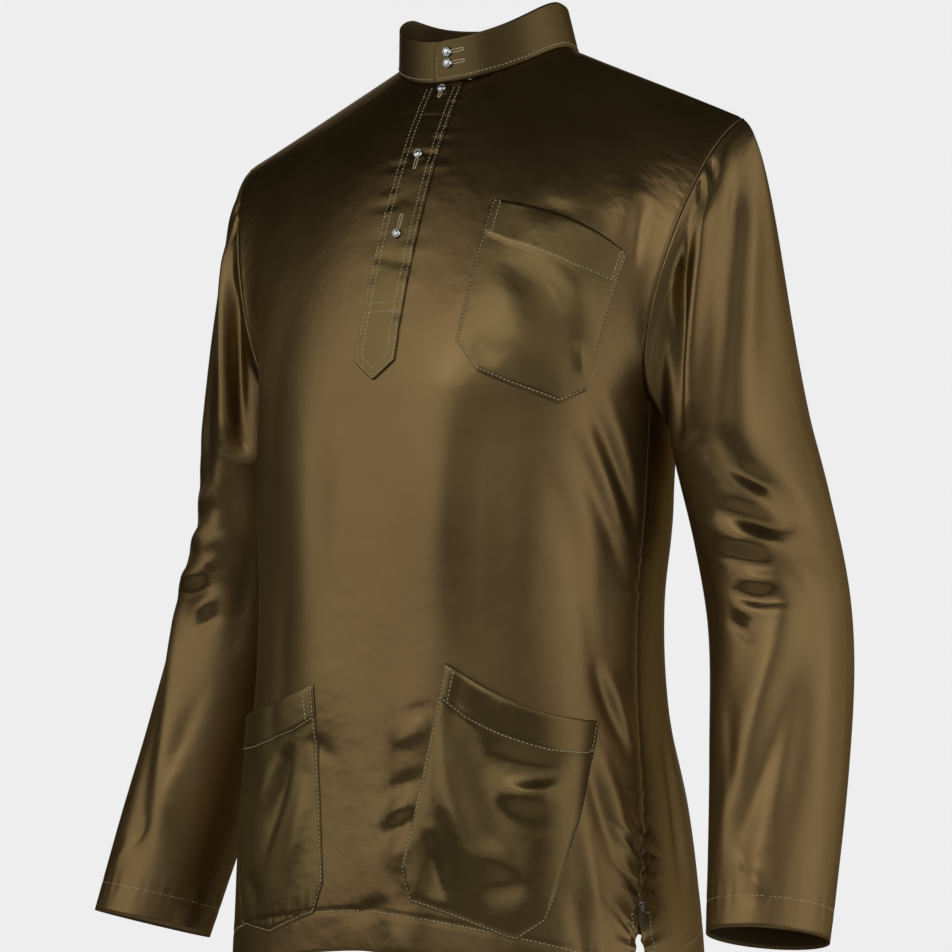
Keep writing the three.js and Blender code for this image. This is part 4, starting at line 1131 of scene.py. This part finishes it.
def cutStone():
    # a round stone: eight sides of girdle, two staggered rings of crown facets and a flat table
    ring = lambda r, z, n, by: np.stack([r * np.cos(np.arange(n) * 2 * np.pi / n + by),
                                         r * np.sin(np.arange(n) * 2 * np.pi / n + by), np.full(n, z)], -1)
    half = np.pi / 8
    points = np.concatenate([ring(2.1, 0.9, 8, 0), ring(2.95, 1.7, 8, 0), ring(2.95, 2.0, 8, half),
                             ring(2.3, 2.65, 8, 0), ring(1.45, 3.0, 8, half), [[0, 0, 0.9], [0, 0, 3.02]]])
    k = np.arange(8)
    up = (k + 1) % 8
    faces = [
        np.stack([k, up, 8 + up, 8 + k], -1),
        np.stack([8 + k, 8 + up, 16 + k, 16 + k], -1), np.stack([8 + up, 16 + up, 16 + k, 16 + k], -1),
        np.stack([16 + k, 24 + up, 24 + k, 24 + k], -1), np.stack([16 + k, 16 + up, 24 + up, 24 + up], -1),
        np.stack([24 + k, 24 + up, 32 + k, 32 + k], -1), np.stack([24 + up, 32 + up, 32 + k, 32 + k], -1),
        np.stack([32 + k, 32 + up, np.full(8, 41), np.full(8, 41)], -1),
        np.stack([up, k, np.full(8, 40), np.full(8, 40)], -1),
    ]
    return points, np.concatenate(faces)


def setOn(points, place, normal):
    # moves a shape that stands on its +Z side onto a place and normal
    up = unit(np.asarray(normal))
    side = unit(np.cross(up, [0.0, 0.0, 1.0]))
    return place + points[:, :1] * side + points[:, 1:2] * np.cross(up, side) + points[:, 2:] * up


def addStud(name, place, normal):
    # a domed foot, a raised bezel round the stone and small claws over its edge
    bezel = lathe([(3.2, 0.0), (3.7, 0.12), (3.95, 0.5), (4.0, 0.9), (3.85, 1.35), (3.6, 1.65), (3.45, 2.15),
                   (3.25, 2.3), (3.02, 2.2), (2.95, 1.7), (2.4, 1.3)], stud["sides"])
    parts = [(bezel[0], outwards(*bezel))]
    claw, clawFaces = lathe([(0.25, 0.0), (0.42, 0.3), (0.42, 1.0), (0.3, 1.3), (0.1, 1.4)], 8)
    tilted = claw @ np.array([[0.94, 0, 0.35], [0, 1, 0], [-0.35, 0, 0.94]]) + [3.15, 0, 1.5]
    for k in range(stud["prongs"]):
        turn = (k + 0.5) * 2 * np.pi / stud["prongs"]
        cosine, sine = math.cos(turn), math.sin(turn)
        spin = np.array([[cosine, sine, 0], [-sine, cosine, 0], [0, 0, 1]])
        parts.append((tilted @ spin, outwards(claw, clawFaces)))
    points, faces = joined(parts)
    points = setOn(points, place, normal)
    dress(addMesh(name + "_setting", points, outwards(points, faces)), "stud_metal", [silver], name)
    points, faces = cutStone()
    points = setOn(points, place, normal)
    stone = addMesh(name + "_stone", points, outwards(points, faces), smooth=False)
    dress(stone, "stone", [stoneMaterial])


for name, (x, down, way) in studPlaces.items():
    x, down = np.array([x]), np.array([down])
    addStud(name, onFront(x, down, stud["onPlacket"])[0], frontNormal(x, down)[0])
for name, height in collarStuds["heights"].items():
    turn, up = np.array([collarStuds["turn"]]), np.array([height])
    _, _, _, normal = frameOn(onCollar, turn, up, -1.0)
    addStud(name, (onCollar(turn, up) + normal * stud["onCollar"])[0], normal[0])
print("buttonholes and studs made")

# The closed zip inside the near side seam: two tapes behind the cloth and a row of teeth in the gap
zipRow = {"top": 640.0, "bottom": 782.0, "tape": 10.0, "behind": 1.7, "wall": 0.5, "pitch": 1.7,
          "length": 3.2, "wide": 0.95, "high": 0.5, "deep": 1.3}
for side in ("front", "back"):
    down, inside = np.meshgrid(np.linspace(zipRow["top"], zipRow["bottom"], 60),
                               np.linspace(0.4, zipRow["tape"], 7), indexing="ij")
    u, t = 1 - inside / cloth["edge"], down / cloth["down"]
    place = torsoPoint(side, u, t)
    normal = torsoNormal(side, u, t)
    if (normal[..., 0] < 0).mean() > 0.5:
        normal = -normal
    grid = place - normal * zipRow["behind"]
    if (gridNormal(grid) * normal).sum() < 0:
        grid, normal, inside, down = (a[:, ::-1] for a in (grid, normal, inside, down))
    tape = addShell("zip_tape_" + side, grid, normal, zipRow["wall"], clothUv(inside, down))
    dress(tape, "zip_tape", [tapeMaterial, tapeMaterial])
down = np.arange(zipRow["top"], zipRow["bottom"], zipRow["pitch"])
atSeam, inwards = (
    [torsoPoint(side, np.full(down.shape, u), down / cloth["down"]) for side in ("front", "back")]
    for u in (1.0, 0.98)
)
edge = (atSeam[0] + atSeam[1]) / 2
across = unit(inwards[0] - inwards[1])
along = unit(np.gradient(edge, axis=0))
normal = unit(np.cross(across, along))
if normal[:, 0].mean() < 0:
    normal = -normal
addStitches("zip_teeth", [(edge - normal * zipRow["deep"], across, normal)], zipRow, "zip_metal", zipMetal)

for name in ("zip_slider", "zip_pull"):
    node = bpy.data.objects[name]
    node.data.materials.clear()
    node.data.materials.append(zipMetal)


# Floor, lights and sky
floorRow = {"level": -1500.0, "half": 3000.0}
corners = [(x * floorRow["half"], y * floorRow["half"], floorRow["level"])
           for x, y in ((-1, -1), (1, -1), (1, 1), (-1, 1))]
floor = addMesh("floor", corners, np.array([[0, 1, 2, 3]]), smooth=False)
floor.data.materials.append(speckled("pale floor", (0.80, 0.80, 0.80), (0.78, 0.78, 0.78), 4, (0.7, 0.8)))

# Soft boxes: azimuth and elevation in degrees, distance, width and height of the panel, radiance
softBoxes = {
    "key": (-30, 16, 2.7, 3.1, 2.5, 0.86),
    "keyEdge": (5, 16, 2.75, 0.5, 2.4, 0.50),
    "keyUpper": (8, 31, 2.7, 1.7, 1.1, 0.75),
    "keyTop": (-28, 45, 2.75, 2.8, 0.5, 0.42),
    "fill": (35.5, 16, 2.9, 2.6, 2.2, 0.20),
    "rightEdge": (64, 10, 2.75, 0.6, 3.0, 0.56),
    "right": (94, 5, 2.7, 2.4, 3.2, 0.82),
    "edge": (138, 8, 2.7, 1.8, 2.6, 0.32),
    "behind": (216, 14, 2.9, 2.2, 2.4, 0.50),
}
target = (0.0, 0.0, -0.35)
for name, (azimuth, elevation, distance, wide, tall, radiance) in softBoxes.items():
    light = bpy.data.lights.new(name, "AREA")
    light.shape = "RECTANGLE"
    light.size, light.size_y, light.energy = wide, tall, math.pi * wide * tall * radiance
    lamp = bpy.data.objects.new(name, light)
    turn, up = math.radians(azimuth), math.radians(elevation)
    lamp.location = (math.sin(turn) * math.cos(up) * distance, -math.cos(turn) * math.cos(up) * distance,
                     target[2] + math.sin(up) * distance)
    lamp.rotation_euler = (math.pi / 2 - up, 0, turn)
    lamp.visible_camera = False
    scene.collection.objects.link(lamp)


def makeSky():
    # a white backdrop behind the tunic, dim above, and the same pale grey wherever the camera looks
    world = bpy.data.worlds.new("studio")
    scene.world = world
    world.use_nodes = True
    tree = world.node_tree
    direction = addNode(tree, "TexCoord", {}).outputs["Generated"]
    away = math.radians(160)
    facing = addNode(tree, "VectorMath", {0: direction, 1: (math.sin(away), -math.cos(away), 0)},
                     operation="DOT_PRODUCT").outputs["Value"]
    bright = rangeOf(tree, facing, 0.04, 0.36, 0.05, 0.85, "SMOOTHSTEP")
    upwards = addNode(tree, "SeparateXYZ", {"Vector": direction}).outputs["Z"]
    high = rangeOf(tree, upwards, 1.0, 0.04, 0.20, 0.75, "SMOOTHSTEP")
    product = addNode(tree, "Math", {0: bright, 1: high}, operation="MULTIPLY").outputs[0]
    around = addNode(tree, "Background", {"Strength": product}).outputs["Background"]
    shown = setInputs(tree, tree.nodes["Background"], {"Color": (0.855, 0.855, 0.855, 1)})
    seen = addNode(tree, "LightPath", {}).outputs["Is Camera Ray"]
    choose = addNode(tree, "MixShader", {"Fac": seen, 1: around, 2: shown.outputs["Background"]})
    setInputs(tree, tree.nodes["World Output"], {"Surface": choose.outputs["Shader"]})


makeSky()
scene.view_settings.view_transform = "Standard"
print("floor and lights made")
